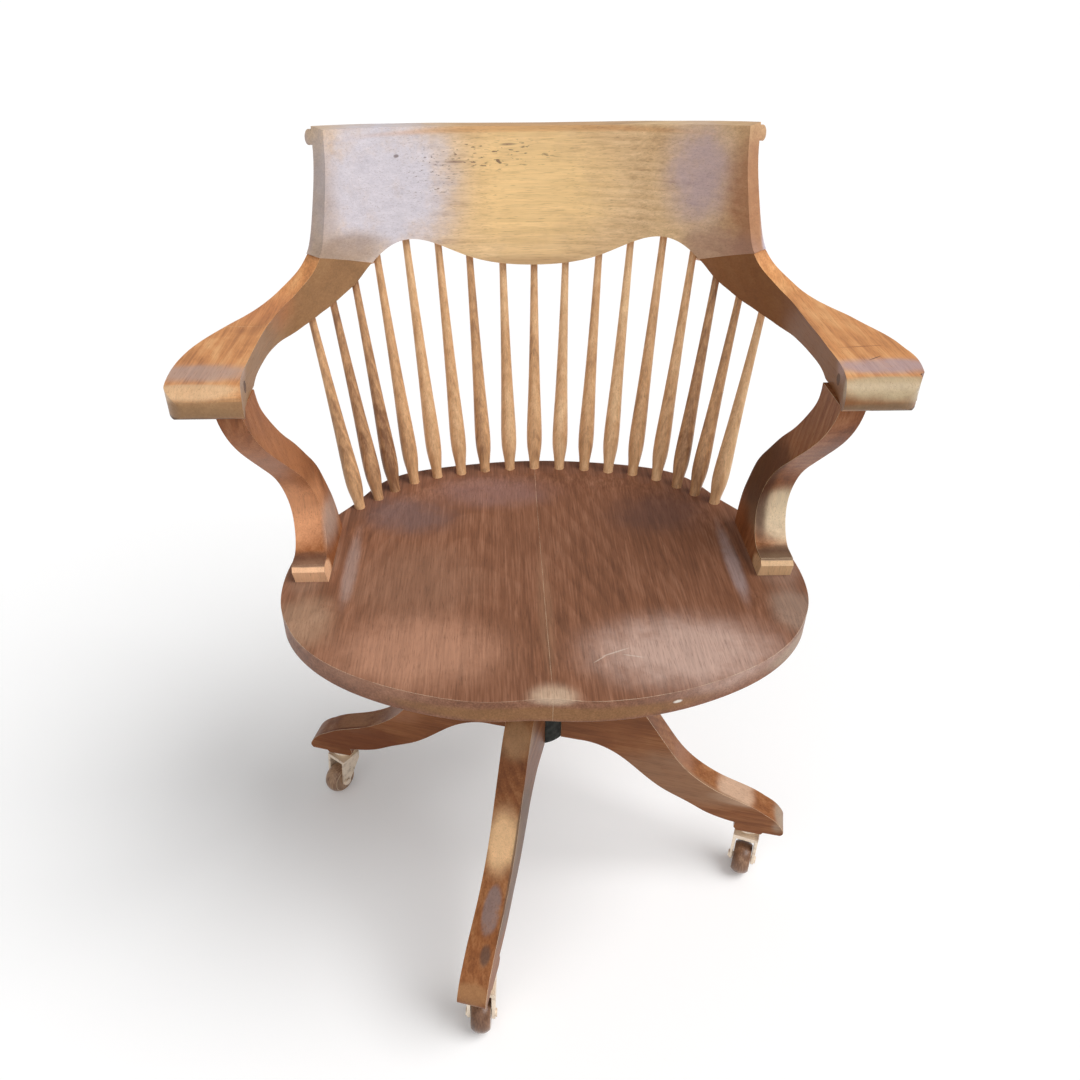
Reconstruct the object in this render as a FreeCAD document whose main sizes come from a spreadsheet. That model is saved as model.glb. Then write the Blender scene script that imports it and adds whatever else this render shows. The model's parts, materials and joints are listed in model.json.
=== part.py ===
"""Bankers swivel chair: saddled seat, spindle back under a rolled crest rail, scrolled arms
on sawn S supports, and four sawn legs round an iron hub with a height screw and castors.

Millimetres. The origin is on the floor under the hub's axis, +Z is up, the front faces -Y.
"""
import FreeCAD, Part
import math
import os

import Sketcher

V = FreeCAD.Vector
UP = V(0, 0, 1)

DIMENSIONS = (
    ("seat_rim_height", 457, "floor to the flat rim of the seat"),
    ("seat_thickness", 30, "seat boards at the rim"),
    ("seat_front", 238, "hub axis to the front edge at the centre"),
    ("seat_back", 200, "hub axis to the back edge at the centre"),
    ("dish_depth", 9, "saddle hollow under the rim"),
    ("dish_front_depth", 4.5, "what is left of the hollow's depth at the front edge"),
    ("pommel_height", 3.5, "how far the pommel stands out of the hollow"),
    ("arm_top", 700, "floor to the level part of the arms"),
    ("arm_under", 673, "floor to the underside of the level part"),
    ("nose_front", 118, "hub axis to the front of the arm noses"),
    ("arm_skew", 5.5, "how far the fronts of the old arms stand to the left"),
    ("arm_flare", 2.5, "how much the flare of an arm adds to its width"),
    ("arm_flare_skew", 4, "how much wider still the right arm's flare is, and narrower the left's"),
    ("crest_top", 840, "floor to the top of the crest rail at its middle"),
    ("crest_end_rise", 9, "how much higher the crest ends stand"),
    ("crest_low", 696, "floor to the lowest point of the crest's lower edge"),
    ("crest_thickness", 22, "crest rail board"),
    ("crest_face_y", 246, "hub axis to the crest's front face at the height of the arms"),
    ("crest_roll", 8, "radius of the roll along the crest's top"),
    ("crest_roll_back", 4, "how far the roll's middle lies behind the crest's back face"),
    ("back_rake", 0.27, "how far the back leans per unit of height"),
    ("joint_inner_x", 185.5, "centre line to the inner end of the arm to crest joint"),
    ("support_thickness", 35, "arm support boards at the foot"),
    ("support_taper", 0.056, "what a support loses in thickness per unit of height"),
    ("support_inner_x", 227, "centre line to the inner face of a support's foot"),
    ("support_lean", 0.1735, "how far the supports lean out per unit of height"),
    ("support_skew", 0.0325, "what the left support leans more, and the right one less"),
    ("spindle_top_radius", 4.2, "spindle where it enters the crest"),
    ("spindle_belly_radius", 9.5, "spindle at its thickest"),
    ("spindle_foot_radius", 6.2, "spindle where it enters the seat"),
    ("top_tenon_length", 12, "depth of the top tenon"),
    ("foot_tenon_length", 16, "depth of the foot tenon"),
    ("leg_thickness", 32, "leg plank"),
    ("leg_reach", 322, "hub axis to a leg's tip"),
    ("leg_turn", -15, "angle of the first leg from +X"),
    ("leg_arch_height", 184, "floor to the legs' underside beside the hub"),
    ("leg_top_height", 300, "floor to the legs' top beside the hub"),
    ("leg_flat_radius", 33, "hub axis to a leg's inner end"),
    ("castor_radius", 281, "hub axis to a castor's pivot"),
    ("castor_height", 72, "floor to the leg's pad over a castor"),
    ("hub_radius", 37, "iron hub"),
    ("hub_bottom", 186, "floor to the hub's lower face"),
    ("hub_flange_radius", 64, "flange over the legs"),
    ("hub_flange_thickness", 8, "flange over the legs"),
    ("hub_bore_radius", 15.06, "bore for the height screw"),
    ("screw_radius", 15, "height screw"),
    ("screw_bottom", 190, "floor to the foot of the height screw"),
    ("washer_thickness", 2.9, "washers under the hand nut and under the seat's socket"),
    ("nut_bottom", 311, "floor to the lower face of the hand nut"),
    ("nut_thickness", 22, "hand nut"),
    ("nut_radius", 30, "hand nut's body"),
    ("collar_height", 339, "floor to the lower face of the screw's collar"),
    ("collar_radius", 22, "collar of the screw"),
    ("collar_thickness", 6, "collar of the screw"),
    ("journal_radius", 13, "plain top of the screw on which the seat turns"),
    ("journal_top", 405, "floor to the top of the journal"),
    ("socket_bore_radius", 13.06, "seat bracket's bore on the journal"),
    ("socket_radius", 24, "seat bracket's socket"),
    ("socket_bottom", 348, "floor to the lower face of the socket"),
    ("bracket_thickness", 12, "seat bracket's arms"),
    ("bracket_arm_width", 38, "seat bracket's arms"),
    ("bracket_reach", 140, "hub axis to the end of a bracket arm"),
    ("wheel_radius", 22, "castor wheel"),
    ("wheel_width", 22, "castor wheel"),
    ("castor_trail", 15, "castor pivot to the wheel's axle"),
    ("axle_radius", 3, "castor axle"),
    ("pivot_radius", 4, "castor pivot pin"),
    ("pivot_bore_radius", 4.06, "bore of the horn on the pivot pin"),
    ("plate_radius", 16, "castor plate under the leg"),
)

doc = FreeCAD.newDocument("bankers_chair")
sheet = doc.addObject("Spreadsheet::Sheet", "sizes")
for row, (alias, value, note) in enumerate(DIMENSIONS, start=1):
    sheet.set(f"A{row}", alias)
    sheet.set(f"B{row}", str(value))
    sheet.set(f"C{row}", note)
    sheet.setAlias(f"B{row}", alias)
doc.recompute()

SUBPARTS = []


def size(alias):
    """Read one driving dimension from the sheet."""
    return float(getattr(sheet, alias))


# Helpers that make sub-parts

def keep(obj, label):
    """Name an object as a sub-part that is written to its own file."""
    obj.Label = label
    SUBPARTS.append(obj)
    return obj


def shape_part(label, shape):
    """Make a sub-part from a finished shape."""
    feature = doc.addObject("Part::Feature", label)
    feature.Shape = shape
    return keep(feature, label)


def cut_part(body, tools):
    """Drill or notch a sketched body, and keep the result as a sub-part of the same name."""
    label = body.Label
    if body in SUBPARTS:
        SUBPARTS.remove(body)
    body.Label = label + "_blank"
    before = body.Shape.Volume
    shape = body.Shape.cut(tools)
    if shape.Volume >= before:
        raise RuntimeError(f"{label}: a tool cuts nothing")
    return shape_part(label, shape)


def new_body(label, placement=None):
    """Start a sub-part that is built from sketches."""
    body = doc.addObject("PartDesign::Body", label)
    if placement is not None:
        body.Placement = placement
    return keep(body, label)


def sketch_on(body, role, height=None):
    """Add a sketch on one of the body's origin planes, raised by a height from the sheet."""
    sketch = body.newObject("Sketcher::SketchObject", body.Name + "_sketch")
    plane = next(item for item in body.Origin.OriginFeatures if item.Role == role)
    sketch.AttachmentSupport = [(plane, "")]
    sketch.MapMode = "FlatFace"
    if height is not None:
        sketch.setExpression(".AttachmentOffset.Base.z", height)
    return sketch


def add_circle(sketch, radius, x=0.0, y=0.0):
    """Add a circle whose radius is bound to the sheet, or is a plain number."""
    number = size(radius) if isinstance(radius, str) else radius
    index = sketch.addGeometry(Part.Circle(V(x, y, 0), UP, number))
    rule = sketch.addConstraint(Sketcher.Constraint("Radius", index, number))
    if isinstance(radius, str):
        sketch.renameConstraint(rule, f"radius_{index}")
        sketch.setExpression(f"Constraints.radius_{index}", f"sizes.{radius}")
    sketch.addConstraint(Sketcher.Constraint("DistanceX", -1, 1, index, 3, x))
    sketch.addConstraint(Sketcher.Constraint("DistanceY", -1, 1, index, 3, y))


def add_lines(sketch, points):
    """Add straight lines from point to point."""
    for (x0, y0), (x1, y1) in zip(points, points[1:]):
        sketch.addGeometry(Part.LineSegment(V(x0, y0, 0), V(x1, y1, 0)))


def add_polygon(sketch, corners):
    """Add a closed outline of straight lines."""
    add_lines(sketch, list(corners) + [corners[0]])


def add_spline(sketch, points):
    """Add one smooth curve through the points."""
    curve = Part.BSplineCurve()
    curve.interpolate([V(x, y, 0) for x, y in points])
    sketch.addGeometry(curve)


def pad(body, sketch, length, both_ways=False):
    """Thicken a sketch by a length from the sheet, or an expression of such lengths."""
    feature = body.newObject("PartDesign::Pad", body.Name + "_pad")
    feature.Profile = sketch
    feature.SideType = "Symmetric" if both_ways else "One side"
    feature.setExpression("Length", length)
    doc.recompute()
    return feature


def pocket(body, sketch, length, upwards=False):
    """Cut a sketch out of the body, downwards unless told otherwise."""
    before = body.Shape.Volume
    feature = body.newObject("PartDesign::Pocket", body.Name + "_pocket")
    feature.Profile = sketch
    feature.Reversed = upwards
    feature.setExpression("Length", length)
    doc.recompute()
    if body.Shape.Volume >= before:
        raise RuntimeError(f"{body.Label}: a pocket cuts nothing")
    return feature


def ring(body, features, count):
    """Repeat features round the body's vertical axis."""
    pattern = body.newObject("PartDesign::PolarPattern", body.Name + "_ring")
    pattern.Originals = features
    axis = next(item for item in body.Origin.OriginFeatures if item.Role == "Z_Axis")
    pattern.Axis = (axis, [""])
    pattern.Angle = 360
    pattern.Occurrences = count
    body.Tip = pattern
    doc.recompute()
    return pattern


def revolve(body, sketch):
    """Turn a sketch in the XZ plane round the body's vertical axis."""
    feature = body.newObject("PartDesign::Revolution", body.Name + "_turn")
    feature.Profile = sketch
    axis = next(item for item in body.Origin.OriginFeatures if item.Role == "Z_Axis")
    feature.ReferenceAxis = (axis, [""])
    feature.Angle = 360
    doc.recompute()
    return feature


def spline_edge(points, closed=False):
    """One smooth edge through the points."""
    curve = Part.BSplineCurve()
    curve.interpolate(Points=points, PeriodicFlag=closed)
    return curve.toShape()


def line_edges(points):
    """Straight edges from point to point."""
    return [Part.makeLine(a, b) for a, b in zip(points, points[1:])]


def rod(start, direction, radius, length):
    """A round bar."""
    return Part.makeCylinder(radius, length, start, direction)


def mirrored(shape):
    """The same shape on the other side of the centre line."""
    return shape.mirror(V(0, 0, 0), V(1, 0, 0))


def both_sides(points):
    """The points and their mirror images."""
    return list(points) + [V(-p.x, p.y, p.z) for p in points]


def screw(at, direction, length):
    """A countersunk wood screw with its head's face at the given point."""
    head = Part.makeCone(SCREW_HEAD_RADIUS, SCREW_RADIUS, SCREW_HEAD_DEPTH, at, direction)
    return head.fuse(rod(at, direction, SCREW_RADIUS, length)).removeSplitter()


# The bow: the plan curve that arms and crest share, and the lean of the back

BOW = ((0, 0), (38, -0.5), (76, -4.5), (113, -11), (150, -25), (176, -36), (200, -50), (222, -66),
       (241, -86), (256, -111), (265, -144), (268, -194), (268.5, -246), (267.5, -296),
       (265.5, -330), (261.5, -351), (257, -373))
DOWEL_RADIUS = 4
SCREW_RADIUS = 2.5
SCREW_HEAD_RADIUS = 5
SCREW_HEAD_DEPTH = 3


def bow_curve():
    """The bow's inner face at arm height, from the crest's middle to the right arm's nose."""
    curve = Part.BSplineCurve()
    curve.interpolate(Points=[V(x, size("crest_face_y") + y, 0) for x, y in BOW],
                      InitialTangent=V(1, 0, 0), FinalTangent=V(-0.2, -1, 0))
    return curve


BOW_CURVE = bow_curve()


def offset_point(parameter, offset):
    """A point of the bow, moved outwards from its inner face."""
    along = V(*BOW_CURVE.tangent(parameter)[0])
    out = V(-along.y, along.x, 0)
    return BOW_CURVE.value(parameter) + out * offset


def bow_at(distance, offset=0.0):
    """The bow's point at a distance along its inner face from the crest's middle."""
    start = BOW_CURVE.FirstParameter
    parameter = BOW_CURVE.parameterAtDistance(abs(distance), start) if distance else start
    point = offset_point(parameter, offset)
    return V(math.copysign(point.x, distance) if distance else 0, point.y, 0)


def bow_distance(x, offset):
    """How far along the bow its offset curve reaches a width, found by halving."""
    near, far = 0.0, 330.0
    while far - near > 0.01:
        middle = (near + far) / 2
        if bow_at(middle, offset).x < abs(x):
            near = middle
        else:
            far = middle
    return math.copysign((near + far) / 2, x) if x else 0.0


def leaned(point, height, share=1.0):
    """Move a plan point to a height along the back's lean."""
    rake = size("back_rake") * share
    return V(point.x, point.y + rake * (height - size("arm_top")), height)


def bow_middle(x):
    """The middle of the bow's thickness at a width."""
    half = size("crest_thickness") / 2
    return bow_at(bow_distance(x, half), half)


# Seat boards

SEAT_EDGE = ((64, -237.5), (120, -226), (162, -210), (206, -185), (245, -148), (266, -111),
             (274, -70), (273, -28), (264, 14), (250, 48), (236, 74), (220, 98), (202, 132),
             (182, 158), (135, 181), (85, 192), (30, 199))
DISH_EDGE = ((300, -135), (257, -125), (235, -110), (220, -83), (216, -55), (218, -11), (218, 25),
             (208, 60), (197, 77), (174, 104), (150, 128), (127, 144), (94, 155), (40, 165))
DISH_BACK_Y = 166
DISH_LIP = 18
DISH_OUTSIDE_RISE = 2
SEAT_ROUNDING = 1.5


def seat_outline():
    """The seat's edge as one closed curve."""
    right = [V(x, y, 0) for x, y in SEAT_EDGE]
    left = [V(-p.x, p.y, 0) for p in reversed(right)]
    points = [V(0, -size("seat_front"), 0)] + right + [V(0, size("seat_back"), 0)] + left
    return Part.Wire(spline_edge(points, closed=True))


def dish_border():
    """The closed border of the hollow; its front part lies outside the seat."""
    far = 400
    right = [(far, -far)] + list(DISH_EDGE)
    return right + [(0, DISH_BACK_Y)] + [(-x, y) for x, y in reversed(right)]


def inward_distance(x, y):
    """How far a place lies inside the hollow's border; negative outside it."""
    border = dish_border()
    inside = False
    nearest = 1e9
    for (x0, y0), (x1, y1) in zip(border, border[1:] + border[:1]):
        if (y0 > y) != (y1 > y) and x < x0 + (y - y0) * (x1 - x0) / (y1 - y0):
            inside = not inside
        length = (x1 - x0) ** 2 + (y1 - y0) ** 2
        share = max(0.0, min(1.0, ((x - x0) * (x1 - x0) + (y - y0) * (y1 - y0)) / length))
        gap = math.hypot(x - x0 - share * (x1 - x0), y - y0 - share * (y1 - y0))
        nearest = min(nearest, gap)
    return nearest if inside else -nearest


def dish_drop(x, y):
    """How far the saddled top lies under the rim at one place; outside its border it rises."""
    inward = inward_distance(x, y)
    front = max(0.0, min(1.0, (-y - 90) / 140))
    depth = size("dish_depth") + front * (size("dish_front_depth") - size("dish_depth"))
    pommel = size("pommel_height") * front * math.exp(-(x / 26) ** 2)
    reach = depth - pommel if inward > 0 else DISH_OUTSIDE_RISE
    slope = (depth - pommel) / DISH_LIP
    return math.copysign(reach * (1 - math.exp(-abs(inward) * slope / reach)), inward)


def dish_cutter():
    """The volume that carving takes out of the seat's top."""
    step = 16
    rim = size("seat_rim_height")
    rows = range(-256, 225, step)
    grid = []
    for column in range(-18, 19):
        x = column * step
        grid.append([V(x, y, rim - dish_drop(x, y)) for y in rows])
    surface = Part.BSplineSurface()
    surface.interpolate(grid)
    return surface.toShape().extrude(V(0, 0, 60))


SPINDLE_FEET = ((212, 92), (192, 112), (173.5, 131), (151, 150), (123, 163.5), (93, 171),
                (63, 177.7), (31.5, 181.6), (0, 184))
SPINDLE_HEADS = (252.5, 231.5, 207.5, 182.5, 150, 113.5, 77, 37.5, 0)
LOWER_EDGE = ((0, 0), (38, 2), (77, 11), (113, 26), (133, 33), (150, 34.5), (166, 30),
              (178, 22.5), (190, 11.5), (200, 2), (214, -9), (228, -16.5), (247, -25.5),
              (262, -30))
SUPPORT_SCREWS_Y = (2, 24)
BRACKET_SCREW_RADII = (80, 122)
SEAT_DOWELS_Y = (-180, -90, 60, 145)
SEAT_DOWEL_HEIGHT = 437
SEAT_DOWEL_HALF = 26
SUPPORT_SCREW_LENGTH = 62
BRACKET_SCREW_LENGTH = 26


def lower_edge_height(x):
    """Height of the wavy lower edge of crest and arms."""
    low = size("crest_low")
    if not x:
        return low
    curve = Part.BSplineCurve()
    curve.interpolate(Points=[V(px, 0, low + pz) for px, pz in LOWER_EDGE],
                      InitialTangent=V(1, 0, 0), FinalTangent=V(1, 0, -0.2))
    return curve.intersectCS(Part.Plane(V(abs(x), 0, 0), V(1, 0, 0)))[0][0].Z


def spindle_axis(index):
    """Foot and head of a spindle on the right or in the middle, on the seat and in the bow."""
    foot_x, foot_y = SPINDLE_FEET[index]
    head_x = SPINDLE_HEADS[index]
    head = leaned(bow_middle(head_x), lower_edge_height(head_x))
    return V(foot_x, foot_y, size("seat_rim_height")), head


def spindle_holes(at_foot):
    """Drills for all the spindles' tenons, at their feet or at their heads."""
    spare = 20
    radius = size("spindle_foot_radius" if at_foot else "spindle_top_radius")
    depth = size("foot_tenon_length" if at_foot else "top_tenon_length")
    tools = []
    for index in range(len(SPINDLE_FEET)):
        foot, head = spindle_axis(index)
        start, way = (foot, foot - head) if at_foot else (head, head - foot)
        way.normalize()
        tool = rod(start - way * spare, way, radius, depth + spare)
        tools.append(tool)
        if start.x:
            tools.append(mirrored(tool))
    return tools


def support_screw_points():
    """Heads of the screws that come up through the seat into the supports."""
    x = size("support_inner_x") + size("support_thickness") / 2
    bottom = size("seat_rim_height") - size("seat_thickness")
    return both_sides([V(x, y, bottom) for y in SUPPORT_SCREWS_Y])


def bracket_screws():
    """The screws that hold the seat bracket's four arms under the seat."""
    height = size("seat_rim_height") - size("seat_thickness") - size("bracket_thickness")
    screws = []
    for quarter in range(4):
        angle = math.radians(45 + 90 * quarter)
        for radius in BRACKET_SCREW_RADII:
            point = V(radius * math.cos(angle), radius * math.sin(angle), height)
            screws.append(screw(point, UP, BRACKET_SCREW_LENGTH))
    return screws


def support_screws():
    """The screws through the seat into the supports."""
    return [screw(point, UP, SUPPORT_SCREW_LENGTH) for point in support_screw_points()]


def make_seat():
    """Two boards with a seam along the middle, dowelled, hollowed and drilled."""
    bottom = size("seat_rim_height") - size("seat_thickness")
    slab = Part.Face(seat_outline()).extrude(V(0, 0, size("seat_thickness")))
    slab.translate(V(0, 0, bottom))
    dowels = []
    for y in SEAT_DOWELS_Y:
        start = V(-SEAT_DOWEL_HALF, y, SEAT_DOWEL_HEIGHT)
        dowels.append(rod(start, V(1, 0, 0), DOWEL_RADIUS, 2 * SEAT_DOWEL_HALF))
    reach = 400
    for label, corner in (("seat_board_left", V(-reach, -reach, 0)),
                          ("seat_board_right", V(0, -reach, 0))):
        half = slab.common(Part.makeBox(reach, 2 * reach, 600, corner)).cut(dish_cutter())
        rim_edges = [e for e in half.Edges
                     if e.BoundBox.ZMax < bottom + 0.01 and e.BoundBox.XLength > 10]
        board = half.makeFillet(SEAT_ROUNDING, rim_edges)
        for drills in (spindle_holes(True), support_screws(), bracket_screws(), dowels):
            board = board.cut(drills)
        shape_part(label, max(board.Solids, key=lambda solid: solid.Volume))
    shape_part("seat_dowels", Part.makeCompound(dowels))


# Spindles

SPINDLE_PROFILE = ((0.025, 0.0), (0.06, 0.36), (0.10, 0.8), (0.15, 1.0), (0.22, 0.95), (0.34, 0.72),
                   (0.5, 0.46), (0.7, 0.22), (0.86, 0.07), (0.95, 0.0))
BELLY_SHARE = 0.15


def spindle_radius(share, swell):
    """Blend from the foot's radius to the belly's and down to the top's."""
    base = size("spindle_foot_radius" if share < BELLY_SHARE else "spindle_top_radius")
    return base + (size("spindle_belly_radius") - base) * swell


def make_spindles():
    """Seventeen turned spindles, each between its own holes."""
    count = 2 * len(SPINDLE_FEET) - 1
    foot_radius = size("spindle_foot_radius")
    for number in range(count):
        index = min(number, count - 1 - number)
        side = -1 if number < len(SPINDLE_FEET) - 1 else 1
        foot, head = spindle_axis(index)
        length = (head - foot).Length
        points = [V(spindle_radius(s, w), 0, s * length) for s, w in SPINDLE_PROFILE]
        foot_end = -size("foot_tenon_length")
        head_end = length + size("top_tenon_length")
        corners = [points[-1], V(size("spindle_top_radius"), 0, head_end), V(0, 0, head_end),
                   V(0, 0, foot_end), V(foot_radius, 0, foot_end), points[0]]
        wire = Part.Wire(Part.__sortEdges__([spline_edge(points)] + line_edges(corners)))
        turned = Part.Face(wire).revolve(V(0, 0, 0), UP, 360)
        feature = shape_part(f"spindle_{number + 1:02d}", turned)
        axis = head - foot
        axis.x *= side
        base = V(side * foot.x, foot.y, foot.z)
        feature.Placement = FreeCAD.Placement(base, FreeCAD.Rotation(UP, axis))


# Crest rail

CREST_END = ((242, 872), (243.5, 850), (243.2, 824), (246.5, 786), (250.5, 760), (254.5, 741),
             (258, 731.5), (266, 722), (276, 714))
JOINT_INNER = (204, 714)
JOINT_OUTER = (260.5, 728)
CREST_SLAB_HALF = 300
CREST_DOWELS_X = (212, 236)
CREST_DOWEL_LENGTH = 20
CREST_DOWEL_RADIUS = 3


def crest_slab():
    """The curved and leaning board from which the crest is cut."""
    low = 640
    high = 880
    count = 14
    stations = [CREST_SLAB_HALF * i / count for i in range(-count, count + 1)]
    front = [leaned(bow_at(d), low) for d in stations]
    back = [leaned(bow_at(d, size("crest_thickness")), low) for d in stations]
    edges = [spline_edge(front), Part.makeLine(front[-1], back[-1]), spline_edge(back[::-1]),
             Part.makeLine(back[0], front[0])]
    lean = V(0, size("back_rake") * (high - low), high - low)
    return Part.Face(Part.Wire(edges)).extrude(lean)


def crest_top_height(x):
    """Height of the crest's top, which rises towards the ends."""
    return size("crest_top") + size("crest_end_rise") * (x / 228) ** 2


def crest_outline():
    """Front view of the crest with its wavy lower edge, as a prism along Y."""
    inner = size("joint_inner_x")
    outer = 300
    floor = 600
    upper = [V(x, 0, crest_top_height(x)) for x in range(-outer, outer + 1, 60)]
    half = [x for x, _ in LOWER_EDGE if x < inner]
    widths = [-inner] + [-x for x in half[:0:-1]] + half + [inner]
    lower = [V(x, 0, lower_edge_height(x)) for x in widths]
    sides = [upper[-1], V(outer, 0, floor), V(inner, 0, floor), lower[-1]]
    edges = [spline_edge(upper), spline_edge(lower[::-1])] + line_edges(sides)
    edges += line_edges([V(-p.x, p.y, p.z) for p in sides])
    prism = Part.Face(Part.Wire(Part.__sortEdges__(edges))).extrude(V(0, 600, 0))
    prism.translate(V(0, -100, 0))
    return prism


def crest_end_cutter():
    """What is sawn off the right end, square to the board's run."""
    before = [leaned(bow_at(d, -12), z) for d, z in CREST_END]
    behind = [leaned(bow_at(d, size("crest_thickness") + 22), z) for d, z in CREST_END]
    face = Part.makeRuledSurface(spline_edge(before), spline_edge(behind))
    return face.extrude(V(90, -70, 0))


def joint_block(above):
    """The space over or under the flat joint between the right arm and the crest."""
    inner = leaned(bow_at(JOINT_INNER[0]), JOINT_INNER[1])
    outer = leaned(bow_at(JOINT_OUTER[0]), JOINT_OUTER[1])
    middle = (JOINT_INNER[0] + JOINT_OUTER[0]) / 2
    across = bow_at(middle, 10) - bow_at(middle)
    upwards = across.cross(inner - outer).normalize()
    if upwards.z < 0:
        upwards = upwards * -1
    reach = 160
    thick = 200
    block = Part.makeBox(2 * reach, 2 * reach, thick, V(-reach, -reach, 0 if above else -thick))
    block.Placement = FreeCAD.Placement((inner + outer) * 0.5, FreeCAD.Rotation(UP, upwards))
    return block


def joint_height(x):
    """Height of the joint in the middle of the bow's thickness."""
    share = (abs(x) - 201) / (248 - 201)
    return JOINT_INNER[1] + share * (JOINT_OUTER[1] - JOINT_INNER[1])


def crest_dowels():
    """Round pins across the joints between arms and crest."""
    lean = V(0, size("back_rake"), 1)
    pins = []
    for x in CREST_DOWELS_X:
        start = leaned(bow_middle(x), joint_height(x) - CREST_DOWEL_LENGTH / 2)
        pins.append(rod(start, lean, CREST_DOWEL_RADIUS, CREST_DOWEL_LENGTH))
    return pins + [mirrored(pin) for pin in pins]


def crest_roll():
    """The round roll along the back of the crest's top."""
    radius = size("crest_roll")
    offset = size("crest_thickness") + size("crest_roll_back")
    count = 9
    rings = []
    for step in range(-count, count + 1):
        distance = 262 * step / count
        point = bow_at(distance, offset)
        across = (point - bow_at(distance)).normalize()
        centre = leaned(point, crest_top_height(bow_at(distance).x) - radius - 2)
        rings.append(Part.Wire(Part.Circle(centre, across.cross(UP), radius).toShape()))
    return Part.makeLoft(rings, True, False)


def make_crest():
    """The crest board with its rolled top."""
    board = crest_slab().common(crest_outline()).fuse(crest_roll())
    cutter = crest_end_cutter()
    under = joint_block(False)
    board = board.cut([cutter, mirrored(cutter), under, mirrored(under)])
    board = board.cut(spindle_holes(False) + crest_dowels()).removeSplitter()
    shape_part("crest_rail", max(board.Solids, key=lambda solid: solid.Volume))
    shape_part("crest_dowels", Part.makeCompound(crest_dowels()))


# Arms

ARM_STATIONS = (
    (176, 22, None, 716, 1), (190, 22, None, 718, 1), (208, 22, None, 722, 1),
    (226, 22, None, 727, 1), (242, 22, 679.5, 732, 1), (250, 22, 676.5, 733, 1),
    (257, 22, 674.5, 730, 1), (265, 22, 672.5, 721, 1), (273, 22, 670.5, 714.5, 1),
    (288, 22, 668, 707.5, 0.9), (303, 22.3, 666.5, 703, 0.7), (326, 23.5, 667, 700.6, 0.3),
    (346, 27.5, 669.5, 700, 0.05), (372, 36.5, 673, 700, 0), (398, 46, 675.5, 700, 0),
    (420, 54, 676.5, 700, 0), (448, 62, 677, 700, 0), (472, 65.5, 673, 700, 0),
    (512, 65.5, 673, 700, 0), (534, 64.5, 673, 700, 0), (556, 62, 673, 700, 0),
)
SKEW_START = 270
SKEW_FULL = 410
FLARE_START = 315
FLARE_END = 562
NOSE_CORNER = 23
NOSE_OUTER_X = 329.2
NOSE_ROLL_DEPTH = 19
NOSE_UNDER_RADIUS = 9
PLUG_RADIUS = 5.5
PLUG_DEPTH = 9
PLUG_Y = -74
ARM_DOWEL_LENGTH = 30
ARM_DOWEL_Y = -88
GLUE_LINE = 0.03


def arm_flare(distance, sign):
    """What the flare adds to one arm's width; it swells and fades along the bow."""
    swell = max(0.0, min(1.0, (distance - FLARE_START) / 55))
    fade = max(0.0, min(1.0, (FLARE_END - distance) / 85))
    return (size("arm_flare") + sign * size("arm_flare_skew")) * swell * fade


def arm_loft(skew, sign):
    """The bent and tapering bar of an arm, its front moved sideways by the skew."""
    wires = []
    for distance, width, low, high, lean in ARM_STATIONS:
        share = max(0.0, min(1.0, (distance - SKEW_START) / (SKEW_FULL - SKEW_START)))
        shift = V(skew * share * share * (3 - 2 * share), 0, 0)
        inner = bow_at(distance) + shift
        outer = bow_at(distance, width + arm_flare(distance, sign)) + shift
        lows = [low or lower_edge_height(point.x) for point in (inner, outer)]
        corners = [leaned(inner, lows[0], lean), leaned(outer, lows[1], lean),
                   leaned(outer, high, lean), leaned(inner, high, lean)]
        wires.append(Part.makePolygon(corners + corners[:1]))
    return Part.makeLoft(wires, True, False)


def nose_profile():
    """Side view of the nose: a long quarter ellipse over a tight quarter circle."""
    front = -size("nose_front")
    middle = size("arm_under") + NOSE_UNDER_RADIUS
    points = []
    for degrees in range(-90, 91, 10):
        cos, sin = math.cos(math.radians(degrees)), math.sin(math.radians(degrees))
        depth = NOSE_ROLL_DEPTH if sin > 0 else NOSE_UNDER_RADIUS
        rise = size("arm_top") - middle if sin > 0 else NOSE_UNDER_RADIUS
        points.append(V(0, front + depth * (1 - cos), middle + rise * sin))
    return points


def arm_nose_tool():
    """Side view of the arm with its rolled nose, as a prism along X."""
    profile = nose_profile()
    start, end = profile[0], profile[-1]
    far = 320
    outline = [end, V(0, 40, end.z), V(0, 60, 800), V(0, far, 800), V(0, far, 600),
               V(0, 60, 600), V(0, 40, start.z), start]
    edges = [spline_edge(profile)] + line_edges(outline)
    return Part.Face(Part.Wire(edges)).extrude(V(500, 0, 0))


def nose_corner_tool(skew):
    """What is taken off the nose's outer corner to round it."""
    centre_x = NOSE_OUTER_X - NOSE_CORNER + skew
    centre_y = -size("nose_front") + NOSE_CORNER
    low = size("arm_under") - 10
    tall = size("arm_top") - low + 10
    block = Part.makeBox(60, 60, tall, V(centre_x, centre_y - 60, low))
    return block.cut(rod(V(centre_x, centre_y, low), UP, NOSE_CORNER, tall))


def plug_tool(skew):
    """The round plug on the arm's inner face over the support."""
    height = (size("arm_top") + size("arm_under")) / 2
    return rod(V(262 + skew, PLUG_Y, height), V(1, 0, 0), PLUG_RADIUS, PLUG_DEPTH + 3)


def support_inner(skew_sign, height):
    """Where a support's inner face stands at a height; the left one leans out more."""
    lean = size("support_lean") - skew_sign * size("support_skew")
    return size("support_inner_x") + lean * (height - size("seat_rim_height"))


def arm_dowel(skew_sign):
    """The pin that joins arm and support."""
    under = size("arm_under")
    x = support_inner(skew_sign, under) + size("crest_thickness") / 2
    return rod(V(x, ARM_DOWEL_Y, under - 16), UP, DOWEL_RADIUS, ARM_DOWEL_LENGTH)


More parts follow.
